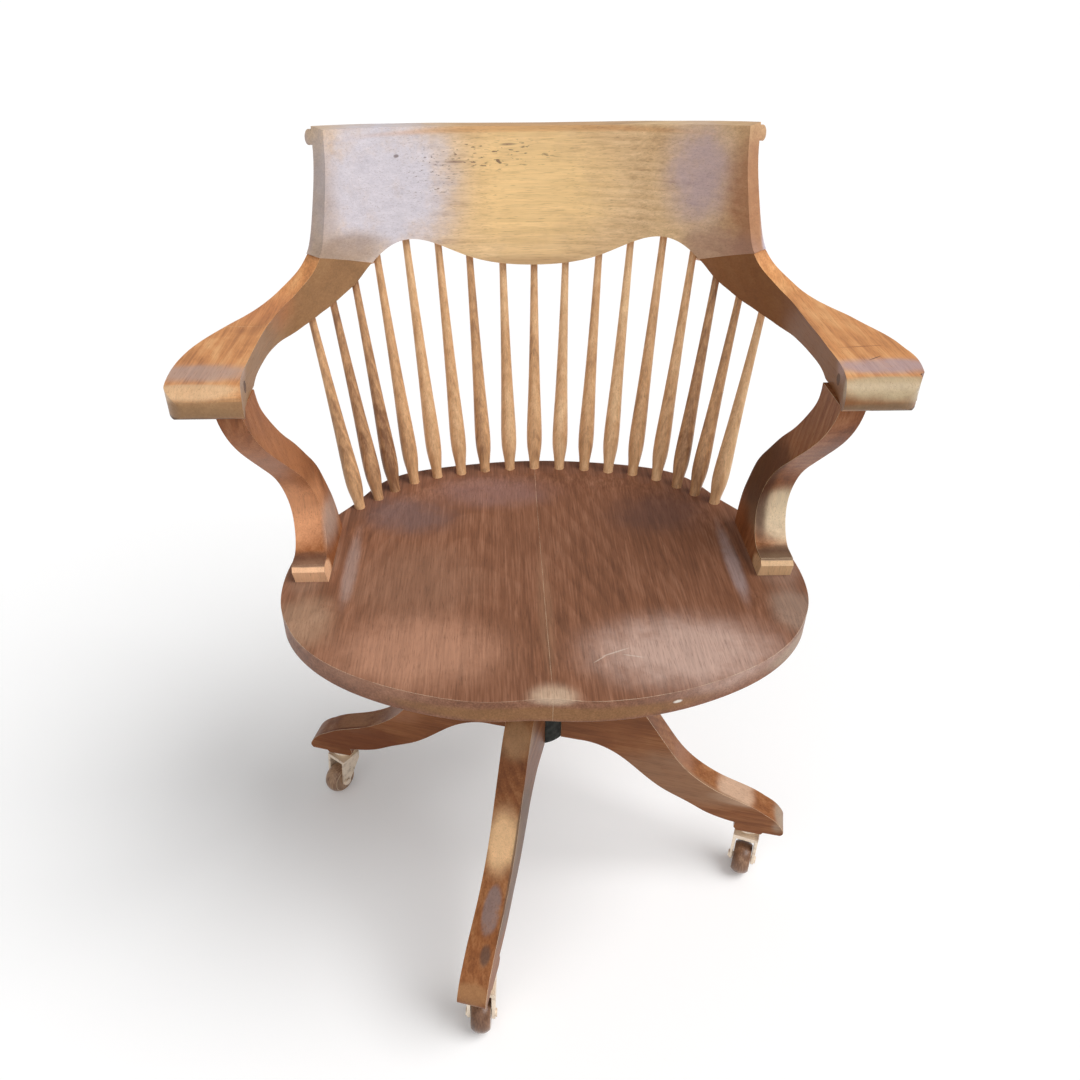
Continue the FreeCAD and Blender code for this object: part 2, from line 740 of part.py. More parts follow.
def to_side(sign, shape):
    """Leave a right-hand shape, or turn it into the left-hand one."""
    return shape if sign > 0 else mirrored(shape)


def make_arms():
    """Both arms with their plugs and dowels."""
    plugs = []
    pins = []
    for sign, name in ((1, "right"), (-1, "left")):
        skew = -sign * size("arm_skew")
        bar = arm_loft(skew, sign).common(arm_nose_tool())
        end_block = Part.makeBox(size("joint_inner_x"), 400, 400, V(0, 0, 500))
        bar = bar.cut([nose_corner_tool(skew), joint_block(True), end_block])
        plug = plug_tool(skew).common(bar)
        bar = bar.cut(spindle_holes(False) + crest_dowels() + [plug_tool(skew), arm_dowel(sign)])
        bar = max(bar.Solids, key=lambda solid: solid.Volume)
        shape_part(f"arm_{name}", to_side(sign, bar))
        plugs.append(to_side(sign, plug))
        pins.append(to_side(sign, arm_dowel(sign)))
    shape_part("arm_plugs", Part.makeCompound(plugs))
    shape_part("arm_dowels", Part.makeCompound(pins))


# Arm supports

SUPPORT_BLOCK = ((-58, -20), (-58, 0), (-59, 13), (-52, 18), (-34, 18))
SUPPORT_FRONT = ((-34, 18), (-20, 23), (-8, 33), (0, 45), (3, 58), (0, 76), (-10, 96), (-31, 119),
                 (-56, 143), (-76, 163), (-90, 180), (-99, 196), (-103, 222))
SUPPORT_BACK = ((-46, 222), (-51, 212), (-52.5, 201), (-46, 186), (-34, 169), (-22, 155), (-1, 135),
                (23, 108), (42, 83), (50, 58), (54, 38), (53, 20), (48, -4))


def support_wedge(sign):
    """Front view of a support with its leaning faces, as a prism along Y."""
    low = size("seat_rim_height")
    high = size("arm_under") - GLUE_LINE
    foot = support_inner(sign, low)
    head = support_inner(sign, high)
    thick = size("support_thickness")
    thin = thick - size("support_taper") * (high - low)
    corners = [V(foot, 0, low), V(foot + thick, 0, low), V(head + thin, 0, high),
               V(head, 0, high), V(foot, 0, low)]
    prism = Part.Face(Part.makePolygon(corners)).extrude(V(0, 400, 0))
    prism.translate(V(0, -200, 0))
    return prism


def support_shape(sign):
    """A support: a sawn S board that leans out and thins towards the arm."""
    rim = size("seat_rim_height")
    block = [V(150, y, rim + t) for y, t in SUPPORT_BLOCK]
    front = [V(150, y, rim + t) for y, t in SUPPORT_FRONT]
    back = [V(150, y, rim + t) for y, t in SUPPORT_BACK]
    heel = V(150, back[-1].y, rim + SUPPORT_BLOCK[0][1])
    edges = line_edges(block) + [spline_edge(front), Part.makeLine(front[-1], back[0]),
                                 spline_edge(back)] + line_edges([back[-1], heel, block[0]])
    board = Part.Face(Part.Wire(Part.__sortEdges__(edges))).extrude(V(250, 0, 0))
    return board.common(support_wedge(sign))


def make_supports():
    """Both supports, drilled for their screws and dowels, with the screws."""
    for sign, name in ((1, "right"), (-1, "left")):
        support = support_shape(sign).cut(support_screws() + [arm_dowel(sign)])
        support = max(support.Solids, key=lambda solid: solid.Volume)
        shape_part(f"arm_support_{name}", to_side(sign, support))
    shape_part("support_screws", Part.makeCompound(support_screws()))


# Legs

LEG_TOP = ((66, 0), (90, -8), (113, -26), (136, -56), (162, -95), (190, -133), (216, -154),
           (243, -168), (274, -179), (295, -190))
LEG_TIP = ((-27, 110), (-14, 102), (-4, 91), (0, 81), (-3, 76))
LEG_UNDER = ((262, -98), (240, -94), (222, -88), (203, -78), (166, -60), (129, -31), (104, -12),
             (80, -2), (56, 0))
PAD_EDGE = ((17, 3.5), (15, 0), (-16, 0), (-20, 5))
TONGUE_NECK = 7
TONGUE_END = 10
TONGUE_LENGTH = 11
LEG_SCREW_RADIUS_AT = 54
LEG_SCREW_SIDE = 8
LEG_SCREW_LENGTH = 38
PIVOT_DEPTH = 26


def leg_angles():
    """The directions of the four legs, in degrees."""
    return [size("leg_turn") + 90 * number for number in range(4)]


def make_legs():
    """Four sawn legs with a dovetail tongue for the hub and a pad for the castor."""
    top = size("leg_top_height")
    inner = size("leg_flat_radius")
    arch = size("leg_arch_height")
    pad_low = size("castor_height")
    reach = size("leg_reach")
    pivot = size("castor_radius")
    for number, turn in enumerate(leg_angles(), start=1):
        placement = FreeCAD.Placement(V(0, 0, 0), FreeCAD.Rotation(UP, turn))
        body = new_body(f"leg_{number}", placement)
        side = sketch_on(body, "XZ_Plane")
        crown = [(r, top + drop) for r, drop in LEG_TOP]
        tip = [(reach + r, z) for r, z in LEG_TIP]
        under = [(r, arch + drop) for r, drop in LEG_UNDER]
        add_spline(side, crown)
        add_spline(side, [crown[-1]] + tip[1:])
        add_lines(side, [tip[-1]] + [(pivot + r, pad_low + z) for r, z in PAD_EDGE] + [under[0]])
        add_spline(side, under)
        add_lines(side, (under[-1], (inner, arch), (inner, top), crown[0]))
        pad(body, side, "sizes.leg_thickness", both_ways=True)
        tongue = sketch_on(body, "XY_Plane", "sizes.hub_bottom")
        end = inner - TONGUE_LENGTH
        lap = 1
        slope = (TONGUE_END - TONGUE_NECK) / TONGUE_LENGTH
        root = TONGUE_NECK - slope * lap
        add_polygon(tongue, ((inner + lap, -root), (inner, -TONGUE_NECK), (end, -TONGUE_END),
                             (end, TONGUE_END), (inner, TONGUE_NECK), (inner + lap, root)))
        pad(body, tongue, "sizes.leg_top_height - sizes.hub_bottom")
        pin = sketch_on(body, "XY_Plane", "sizes.castor_height")
        add_circle(pin, "pivot_radius", x=pivot)
        pocket(body, pin, str(PIVOT_DEPTH), upwards=True)
        holes = sketch_on(body, "XY_Plane", "sizes.leg_top_height")
        for offset in (-LEG_SCREW_SIDE, LEG_SCREW_SIDE):
            add_circle(holes, SCREW_RADIUS, x=LEG_SCREW_RADIUS_AT, y=offset)
        pocket(body, holes, f"{LEG_SCREW_LENGTH} - sizes.hub_flange_thickness")


# Hub, height screw and seat bracket

KEY_WIDTH = 5
KEY_LOW = 262
KEY_LENGTH = 38
KEY_INNER = 12.1
KEY_OUTER = 18
KEYWAY_WIDTH = 5.12
KEYWAY_INNER = 12
KEYWAY_TOP = 308


def key_block(width, inner, outer, low, high):
    """A bar beside the hub's axis, between two legs."""
    block = Part.makeBox(outer - inner, width, high - low, V(inner, -width / 2, low))
    turn = FreeCAD.Rotation(UP, size("leg_turn") + 45)
    block.Placement = FreeCAD.Placement(V(0, 0, 0), turn).multiply(block.Placement)
    return block


def leg_screws():
    """Countersunk screws down through the flange, with their heads flush."""
    height = size("leg_top_height") + size("hub_flange_thickness")
    screws = []
    for turn in leg_angles():
        along = V(math.cos(math.radians(turn)), math.sin(math.radians(turn)), 0)
        across = V(-along.y, along.x, 0)
        for offset in (-LEG_SCREW_SIDE, LEG_SCREW_SIDE):
            point = along * LEG_SCREW_RADIUS_AT + across * offset
            screws.append(screw(V(point.x, point.y, height), V(0, 0, -1), LEG_SCREW_LENGTH))
    return screws


def make_hub():
    """Iron hub: a bored core with four flats and dovetails, under a round flange."""
    inner = size("leg_flat_radius")
    end = inner - TONGUE_LENGTH
    turn = FreeCAD.Placement(V(0, 0, 0), FreeCAD.Rotation(UP, size("leg_turn")))
    body = new_body("hub_casting", turn)
    core = sketch_on(body, "XY_Plane", "sizes.hub_bottom")
    add_circle(core, "hub_radius")
    pad(body, core, "sizes.leg_top_height - sizes.hub_bottom")
    flange = sketch_on(body, "XY_Plane", "sizes.leg_top_height")
    add_circle(flange, "hub_flange_radius")
    pad(body, flange, "sizes.hub_flange_thickness")
    bore = sketch_on(body, "XY_Plane", "sizes.leg_top_height + sizes.hub_flange_thickness")
    add_circle(bore, "hub_bore_radius")
    pocket(body, bore, "sizes.leg_top_height")
    slot = sketch_on(body, "XY_Plane", "sizes.leg_top_height")
    far = 20
    add_polygon(slot, ((inner + far, -far), (inner, -far), (inner, -TONGUE_NECK),
                       (end, -TONGUE_END), (end, TONGUE_END), (inner, TONGUE_NECK),
                       (inner, far), (inner + far, far)))
    cut = pocket(body, slot, "sizes.leg_top_height - sizes.hub_bottom")
    ring(body, [cut], 4)
    key = key_block(KEY_WIDTH, KEY_INNER, KEY_OUTER, KEY_LOW, KEY_LOW + KEY_LENGTH)
    cut_part(body, leg_screws() + [key])
    shape_part("height_key", key)
    shape_part("leg_screws", Part.makeCompound(leg_screws()))


NUT_LOBES = 4
LOBE_RADIUS = 9
WASHER_RADIUS = 26
WASHER_BORE = 16
TAP_RADIUS = 5
TAP_DEPTH = 24


def make_washer(label, height, outer, bore):
    """A flat washer."""
    washer = new_body(label)
    flat = sketch_on(washer, "XY_Plane", height)
    add_circle(flat, outer)
    add_circle(flat, bore)
    pad(washer, flat, "sizes.washer_thickness")


def make_height_screw():
    """Washer, hand nut, and the screw with its collar and journal."""
    make_washer("thrust_washer", "sizes.leg_top_height + sizes.hub_flange_thickness",
                WASHER_RADIUS, WASHER_BORE)
    nut = new_body("hand_nut")
    disc = sketch_on(nut, "XY_Plane", "sizes.nut_bottom")
    add_circle(disc, "nut_radius")
    pad(nut, disc, "sizes.nut_thickness")
    lobe = sketch_on(nut, "XY_Plane", "sizes.nut_bottom + 4")
    add_circle(lobe, LOBE_RADIUS, x=size("nut_radius") + 4)
    knob = pad(nut, lobe, "sizes.nut_thickness - 8")
    ring(nut, [knob], NUT_LOBES)
    hole = sketch_on(nut, "XY_Plane", "sizes.nut_bottom + sizes.nut_thickness")
    add_circle(hole, "hub_bore_radius")
    pocket(nut, hole, "sizes.nut_thickness")

    spindle = new_body("height_screw")
    shaft = sketch_on(spindle, "XY_Plane", "sizes.screw_bottom")
    add_circle(shaft, "screw_radius")
    pad(spindle, shaft, "sizes.collar_height - sizes.screw_bottom")
    collar = sketch_on(spindle, "XY_Plane", "sizes.collar_height")
    add_circle(collar, "collar_radius")
    pad(spindle, collar, "sizes.collar_thickness")
    journal = sketch_on(spindle, "XY_Plane", "sizes.collar_height + sizes.collar_thickness")
    add_circle(journal, "journal_radius")
    pad(spindle, journal, "sizes.journal_top - sizes.collar_height - sizes.collar_thickness")
    tapped = sketch_on(spindle, "XY_Plane", "sizes.journal_top")
    add_circle(tapped, TAP_RADIUS)
    pocket(spindle, tapped, str(TAP_DEPTH))
    keyway = key_block(KEYWAY_WIDTH, KEYWAY_INNER, KEY_OUTER, size("screw_bottom") - 1, KEYWAY_TOP)
    cut_part(spindle, [keyway])


CAP_RADIUS = 17
CAP_THICKNESS = 3
CAP_HEAD_RADIUS = 9
CAP_HEAD_HEIGHT = 6
WELL_RADIUS = 20


def make_seat_bracket():
    """Iron cross under the seat with its socket, the retaining screw and the seat screws."""
    body = new_body("seat_bracket")
    body.Placement = FreeCAD.Placement(V(0, 0, 0), FreeCAD.Rotation(UP, 45))
    cross = sketch_on(body, "XY_Plane",
                      "sizes.seat_rim_height - sizes.seat_thickness - sizes.bracket_thickness")
    half = size("bracket_arm_width") / 2
    far = size("bracket_reach")
    corners = []
    for quarter in range(4):
        angle = math.radians(90 * quarter)
        cos, sin = math.cos(angle), math.sin(angle)
        for x, y in ((half, -half), (far - 8, -half * 0.6), (far, 0), (far - 8, half * 0.6)):
            corners.append((x * cos - y * sin, x * sin + y * cos))
    add_polygon(cross, corners)
    pad(body, cross, "sizes.bracket_thickness")
    socket = sketch_on(body, "XY_Plane", "sizes.socket_bottom")
    add_circle(socket, "socket_radius")
    pad(body, socket, "sizes.seat_rim_height - sizes.seat_thickness - 1 - sizes.socket_bottom")
    bore = sketch_on(body, "XY_Plane", "sizes.seat_rim_height - sizes.seat_thickness")
    add_circle(bore, "socket_bore_radius")
    pocket(body, bore, "sizes.seat_rim_height")
    well = sketch_on(body, "XY_Plane", "sizes.seat_rim_height - sizes.seat_thickness")
    add_circle(well, WELL_RADIUS)
    pocket(body, well, "sizes.seat_rim_height - sizes.seat_thickness - sizes.journal_top + 0.2")
    cut_part(body, bracket_screws())
    shape_part("seat_screws", Part.makeCompound(bracket_screws()))

    make_washer("swivel_washer", "sizes.collar_height + sizes.collar_thickness",
                "collar_radius", "socket_bore_radius")
    top = size("journal_top")
    head_low = top + CAP_THICKNESS
    cap = rod(V(0, 0, top), UP, CAP_RADIUS, CAP_THICKNESS)
    cap = cap.fuse(rod(V(0, 0, head_low), UP, CAP_HEAD_RADIUS, CAP_HEAD_HEIGHT))
    cap = cap.fuse(rod(V(0, 0, top - TAP_DEPTH), UP, TAP_RADIUS, TAP_DEPTH)).removeSplitter()
    slot_depth = 2
    slot = Part.makeBox(2, 2 * CAP_HEAD_RADIUS + 2, slot_depth,
                        V(-1, -CAP_HEAD_RADIUS - 1, head_low + CAP_HEAD_HEIGHT - slot_depth))
    shape_part("retaining_screw", cap.cut(slot))


# Castors

CASTOR_TRAILS = (-112, 20, 232, -94)
PLATE_THICKNESS = 3
HORN_GAP = 0.7
HORN_LOW = 55
CROWN_THICKNESS = 6
BOSS_RADIUS = 9.5
ARM_GAP = 11.8
HORN_ARM = 4
EYE_RADIUS = 6.5
AXLE_HEAD_RADIUS = 4.6
AXLE_HEAD = 1.8
PIVOT_HEAD_RADIUS = 7
PIVOT_HEAD = 2.9


def castor_placement(number):
    """Where a castor's pivot stands and which way its wheel trails."""
    angle = math.radians(leg_angles()[number])
    radius = size("castor_radius")
    base = V(radius * math.cos(angle), radius * math.sin(angle), 0)
    return FreeCAD.Placement(base, FreeCAD.Rotation(UP, CASTOR_TRAILS[number]))


def horn_shape():
    """The forked brass horn: a crown on the pivot and two arms down to the axle."""
    trail = size("castor_trail")
    axle_height = size("wheel_radius")
    outer = ARM_GAP + HORN_ARM
    horn_top = size("castor_height") - PLATE_THICKNESS - HORN_GAP
    crown_top = HORN_LOW + CROWN_THICKNESS
    crown = Part.makeBox(30, 2 * outer, CROWN_THICKNESS, V(-13, -outer, HORN_LOW))
    crown = crown.fuse(rod(V(0, 0, HORN_LOW), UP, BOSS_RADIUS, horn_top - HORN_LOW))
    side = [V(-12, 0, crown_top), V(17, 0, crown_top), V(trail + EYE_RADIUS, 0, axle_height),
            V(trail - EYE_RADIUS, 0, axle_height), V(-12, 0, HORN_LOW - 6)]
    strap = Part.Face(Part.makePolygon(side + side[:1])).extrude(V(0, HORN_ARM, 0))
    strap = strap.fuse(rod(V(trail, 0, axle_height), V(0, 1, 0), EYE_RADIUS, HORN_ARM))
    for start in (ARM_GAP, -outer):
        arm = strap.copy()
        arm.translate(V(0, start, 0))
        crown = crown.fuse(arm)
    bore = rod(V(0, 0, 0), UP, size("pivot_bore_radius"), 100)
    pin = rod(V(trail, -2 * outer, axle_height), V(0, 1, 0), size("axle_radius"), 4 * outer)
    return crown.removeSplitter().cut([bore, pin])


def axle_shape():
    """A castor's axle with a flat head on each end."""
    trail = size("castor_trail")
    height = size("wheel_radius")
    outer = ARM_GAP + HORN_ARM
    axle = rod(V(trail, -outer, height), V(0, 1, 0), size("axle_radius"), 2 * outer)
    for end in (-outer - AXLE_HEAD, outer):
        axle = axle.fuse(rod(V(trail, end, height), V(0, 1, 0), AXLE_HEAD_RADIUS, AXLE_HEAD))
    return axle.removeSplitter()


def pivot_shape():
    """A castor's pivot pin, with its riveted head under the horn."""
    low = HORN_LOW - PIVOT_HEAD - 0.1
    top = size("castor_height") + PIVOT_DEPTH
    head = rod(V(0, 0, low), UP, PIVOT_HEAD_RADIUS, PIVOT_HEAD)
    return head.fuse(rod(V(0, 0, low), UP, size("pivot_radius"), top - low)).removeSplitter()


def make_castors():
    """Four castors: plate, pivot, forked horn, axle and wheel."""
    trail = size("castor_trail")
    radius = size("wheel_radius")
    half = size("wheel_width") / 2
    pivots = []
    for number in range(4):
        place = castor_placement(number)
        plate = new_body(f"castor_plate_{number + 1}", place)
        disc = sketch_on(plate, "XY_Plane", f"sizes.castor_height - {PLATE_THICKNESS}")
        add_circle(disc, "plate_radius")
        add_circle(disc, "pivot_radius")
        pad(plate, disc, str(PLATE_THICKNESS))
        shape_part(f"castor_horn_{number + 1}", horn_shape()).Placement = place
        shape_part(f"castor_axle_{number + 1}", axle_shape()).Placement = place

        across = FreeCAD.Rotation(V(1, 0, 0), 90)
        spot = place.multiply(FreeCAD.Placement(V(trail, 0, radius), across))
        wheel = new_body(f"castor_wheel_{number + 1}", spot)
        section = sketch_on(wheel, "XZ_Plane")
        bore = size("axle_radius") + 0.06
        shoulder = half - 4
        add_spline(section, ((radius - 5, half), (radius - 1.6, shoulder), (radius, 0),
                             (radius - 1.6, -shoulder), (radius - 5, -half)))
        add_lines(section, ((radius - 5, -half), (bore, -half), (bore, half), (radius - 5, half)))
        revolve(wheel, section)

        pivot = pivot_shape()
        pivot.Placement = place
        pivots.append(pivot)
    shape_part("castor_pivots", Part.makeCompound(pivots))


def check_and_write():
    """Stop on any failed object or bad shape, then write one file per sub-part."""
    doc.recompute()
    for obj in doc.Objects:
        if "Invalid" in obj.State or "Error" in obj.State:
            raise RuntimeError(f"{obj.Label}: {obj.State}")
    for part in SUBPARTS:
        if part.Shape.isNull() or not part.Shape.isValid():
            raise RuntimeError(f"{part.Label}: bad shape")
    os.makedirs("parts", exist_ok=True)
    for part in SUBPARTS:
        part.Shape.exportStep(os.path.join("parts", part.Label + ".step"))
        print(f"{part.Label}: {len(part.Shape.Solids)} solid(s), {part.Shape.Volume:.0f} mm3")


make_seat()
make_spindles()
make_crest()
make_arms()
make_supports()
make_legs()
make_hub()
make_height_screw()
make_seat_bracket()
make_castors()
check_and_write()
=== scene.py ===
"""Bankers swivel chair: varnished and worn wood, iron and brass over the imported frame.

Metres. The origin is on the floor under the hub's axis, +Z is up and the front faces -Y.
"""
import json
import logging
import math
from dataclasses import dataclass, field
from enum import Enum
from typing import Any, Sequence

import bmesh
import bpy
from mathutils import Matrix, Vector

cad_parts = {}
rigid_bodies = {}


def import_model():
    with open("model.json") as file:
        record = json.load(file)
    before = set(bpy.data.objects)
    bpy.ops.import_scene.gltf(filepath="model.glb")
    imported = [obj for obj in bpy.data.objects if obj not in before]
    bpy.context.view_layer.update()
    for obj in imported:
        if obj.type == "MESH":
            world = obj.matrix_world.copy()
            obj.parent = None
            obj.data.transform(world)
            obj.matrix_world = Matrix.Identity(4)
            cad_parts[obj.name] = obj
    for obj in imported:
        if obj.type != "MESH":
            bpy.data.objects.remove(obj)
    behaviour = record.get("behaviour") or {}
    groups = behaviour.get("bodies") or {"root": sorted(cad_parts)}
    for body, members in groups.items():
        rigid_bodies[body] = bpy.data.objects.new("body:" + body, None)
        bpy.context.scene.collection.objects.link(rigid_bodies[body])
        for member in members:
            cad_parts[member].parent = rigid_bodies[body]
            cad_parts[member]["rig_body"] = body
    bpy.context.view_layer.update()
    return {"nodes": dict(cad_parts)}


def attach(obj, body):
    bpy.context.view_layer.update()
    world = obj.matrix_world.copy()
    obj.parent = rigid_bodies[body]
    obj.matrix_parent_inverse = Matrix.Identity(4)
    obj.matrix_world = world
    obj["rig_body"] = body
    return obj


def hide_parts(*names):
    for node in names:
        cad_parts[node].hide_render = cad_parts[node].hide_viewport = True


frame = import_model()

log = logging.getLogger("chair")

Colour = tuple[float, float, float]
Triple = tuple[float, float, float]
MM = 0.001


# Shader maths

class Wire:
    """A value on its way through a material; sums and products of it add Math nodes."""

    def __init__(self, board: "Board", socket: bpy.types.NodeSocket) -> None:
        """Wrap one output socket of a board's node."""
        self.board = board
        self.socket = socket

    def _with(self, operation: str, first: Any, second: Any = 0.0) -> "Wire":
        """Add one Math node.

        Args:
            operation: The Math node's operation.
            first: A wire or a number for the first socket.
            second: A wire or a number for the second socket.

        Returns:
            The node's result.
        """
        return self.board.add("ShaderNodeMath", {"operation": operation}, {0: first, 1: second})

    def __add__(self, other: Any) -> "Wire":
        """Sum."""
        return self._with("ADD", self, other)

    __radd__ = __add__

    def __sub__(self, other: Any) -> "Wire":
        """Difference."""
        return self._with("SUBTRACT", self, other)

    def __rsub__(self, other: Any) -> "Wire":
        """Difference from a number."""
        return self._with("SUBTRACT", other, self)

    def __mul__(self, other: Any) -> "Wire":
        """Product."""
        return self._with("MULTIPLY", self, other)

    __rmul__ = __mul__

    def __truediv__(self, other: Any) -> "Wire":
        """Quotient."""
        return self._with("DIVIDE", self, other)

    def __pow__(self, other: Any) -> "Wire":
        """Power."""
        return self._with("POWER", self, other)

    def fraction(self) -> "Wire":
        """What is left over the whole number below."""
        return self._with("FRACT", self)

    def larger(self, other: Any) -> "Wire":
        """The larger of two values."""
        return self._with("MAXIMUM", self, other)


class Board:
    """The node tree of one material."""

    def __init__(self, name: str) -> None:
        """Start a material with an empty tree and its output.

        Args:
            name: The material's name.
        """
        self.material = bpy.data.materials.new(name)
        self.material.use_nodes = True
        self.tree = self.material.node_tree
        self.tree.nodes.clear()
        self.end = self.tree.nodes.new("ShaderNodeOutputMaterial")

    def add(self, kind: str, settings: dict[str, Any] | None = None,
            values: dict[Any, Any] | None = None, output: Any = 0) -> Wire:
        """Add a node.

        Args:
            kind: The node's type.
            settings: Its own settings, set first; "stops" are a colour ramp's.
            values: Numbers, colours or wires for its input sockets, by name or number.
            output: The output socket that is wanted, by name or number.

        Returns:
            The wanted output.
        """
        node = self.tree.nodes.new(kind)
        for key, value in (settings or {}).items():
            if key == "stops":
                self._set_stops(node.color_ramp, value)
            else:
                setattr(node, key, value)
        for key, value in (values or {}).items():
            if isinstance(value, Wire):
                self.tree.links.new(value.socket, node.inputs[key])
            else:
                node.inputs[key].default_value = value
        return Wire(self, node.outputs[output])

    @staticmethod
    def _set_stops(ramp: bpy.types.ColorRamp, stops: Sequence[tuple[float, Colour]]) -> None:
        """Give a colour ramp its stops."""
        while len(ramp.elements) < len(stops):
            ramp.elements.new(0.5)
        for element, (place, colour) in zip(ramp.elements, stops):
            element.position = place
            element.color = (*colour, 1.0)

    def place(self) -> Wire:
        """The object coordinates."""
        return self.add("ShaderNodeTexCoord", output="Object")

    def split(self, vector: Wire) -> tuple[Wire, Wire, Wire]:
        """The three parts of a vector."""
        socket = self.add("ShaderNodeSeparateXYZ", None, {0: vector}).socket
        return tuple(Wire(self, output) for output in socket.node.outputs)

    def join(self, x: Any, y: Any, z: Any) -> Wire:
        """A vector from three values."""
        return self.add("ShaderNodeCombineXYZ", None, {0: x, 1: y, 2: z})

    def drawn_out(self, parts: Sequence[Wire], stretch: "Stretch") -> Wire:
        """A vector for noise that is drawn out along the grain.

        Args:
            parts: Distances along, across and through the board.
            stretch: How far it is drawn out.

        Returns:
            The vector.
        """
        along, across, deep = parts
        return self.join(along * stretch.along, across * stretch.across, deep * stretch.across)

    def noise(self, vector: Wire, scale: float, detail: float = 3.0, roughness: float = 0.5,
              distortion: float = 0.0) -> Wire:
        """A cloudy value round a half.

        Args:
            vector: Where to read it.
            scale: Clouds per metre.
            detail: Finer clouds on the coarse ones.
            roughness: How strong the finer ones are.
            distortion: How much they are stirred.

        Returns:
            The value.
        """
        return self.add("ShaderNodeTexNoise", {"noise_dimensions": "3D"}, {
            "Vector": vector, "Scale": scale, "Detail": detail, "Roughness": roughness,
            "Distortion": distortion})

    def step(self, value: Wire, low: float, high: float) -> Wire:
        """A smooth step from 0 at one level to 1 at another, clamped."""
        settings = {"interpolation_type": "SMOOTHSTEP", "clamp": True}
        if low > high:
            return 1.0 - self.step(value, high, low)
        return self.add("ShaderNodeMapRange", settings,
                        {"Value": value, "From Min": low, "From Max": high})

    def ramp(self, value: Wire, stops: Sequence[tuple[float, Colour]]) -> Wire:
        """A colour from a value."""
        return self.add("ShaderNodeValToRGB", {"stops": stops}, {"Fac": value})

    def mix(self, share: Any, first: Any, second: Any, blend: str = "MIX") -> Wire:
        """A mix of two colours.

        Args:
            share: How much of the second is in it.
            first: A wire or a colour.
            second: A wire or a colour.
            blend: How they mix.

        Returns:
            The mixed colour.
        """
        settings = {"data_type": "RGBA", "blend_type": blend, "clamp_factor": True}
        values = {0: share}
        for socket, colour in ((6, first), (7, second)):
            values[socket] = colour if isinstance(colour, Wire) else (*colour, 1.0)
        return self.add("ShaderNodeMix", settings, values, output=2)

    def blob(self, vector: Wire, patch: "Patch") -> Wire:
        """A mask that is 1 in the middle of a patch's ellipsoid and fades to 0 at its border.

        Args:
            vector: Where to read it.
            patch: The patch, with its middle, half sizes, angle and softness.

        Returns:
            The mask.
        """
        moved = self.add("ShaderNodeVectorMath", {"operation": "SUBTRACT"},
                         {0: vector, 1: patch.centre})
        if patch.angle:
            moved = self.add("ShaderNodeVectorRotate", {"rotation_type": "Z_AXIS"},
                             {"Vector": moved, "Angle": -math.radians(patch.angle)})
        scaled = self.add("ShaderNodeVectorMath", {"operation": "DIVIDE"},
                          {0: moved, 1: patch.radii})
        length = self.add("ShaderNodeVectorMath", {"operation": "LENGTH"}, {0: scaled},
                          output="Value")
        return self.step(length, 1.0, 1.0 - patch.soft)

    def bump(self, height: Wire, strength: float, distance: float) -> Wire:
        """A normal from a height."""
        return self.add("ShaderNodeBump", None,
                        {"Strength": strength, "Distance": distance, "Height": height})

    def surface(self, **values: Any) -> bpy.types.Material:
        """Finish the material with the principled shader.

        Args:
            **values: The shader's sockets, with underscores for spaces.

        Returns:
            The material.
        """
        named = {key.replace("_", " "): value for key, value in values.items()}
        for key, value in named.items():
            if isinstance(value, tuple) and len(value) == 3:
                named[key] = (*value, 1.0)
        shader = self.add("ShaderNodeBsdfPrincipled", None, named)
        self.tree.links.new(shader.socket, self.end.inputs["Surface"])
        return self.material


# Finishes

class Grain(Enum):
    """The axis along which a board's grain runs, then the two across it."""

    ALONG_X = (0, 2, 1)
    ALONG_Y = (1, 0, 2)
    ALONG_Z = (2, 0, 1)


@dataclass(frozen=True)
class Stretch:
    """Clouds per metre along the grain and across it."""

    along: float
    across: float


STREAKS = Stretch(7.0, 110.0)
FIBRES = Stretch(22.0, 520.0)
PORES = Stretch(60.0, 1300.0)
SPECKLES = Stretch(110.0, 520.0)
MOTTLES = Stretch(0.7, 1.0)
RING_STIR = Stretch(2.2, 7.0)
RING_GAPS = Stretch(3.0, 25.0)
PORE_LEVELS = (0.60, 0.70)
PORE_SHARE = 0.30
WORN_LEVELS = (0.38, 0.56)
WORN_LEAST = 0.35


@dataclass(frozen=True)
class Patch:
    """A worn, faded, stained or nicked place on wood, or a painted sheen, highlight or shade, in
    the coordinates of its finish.
    """

    centre: Triple
    radii: Triple
    colour: Colour
    strength: float = 0.7
    soft: float = 0.7
    ragged: float = 0.35
    speckle: float = 0.0
    angle: float = 0.0


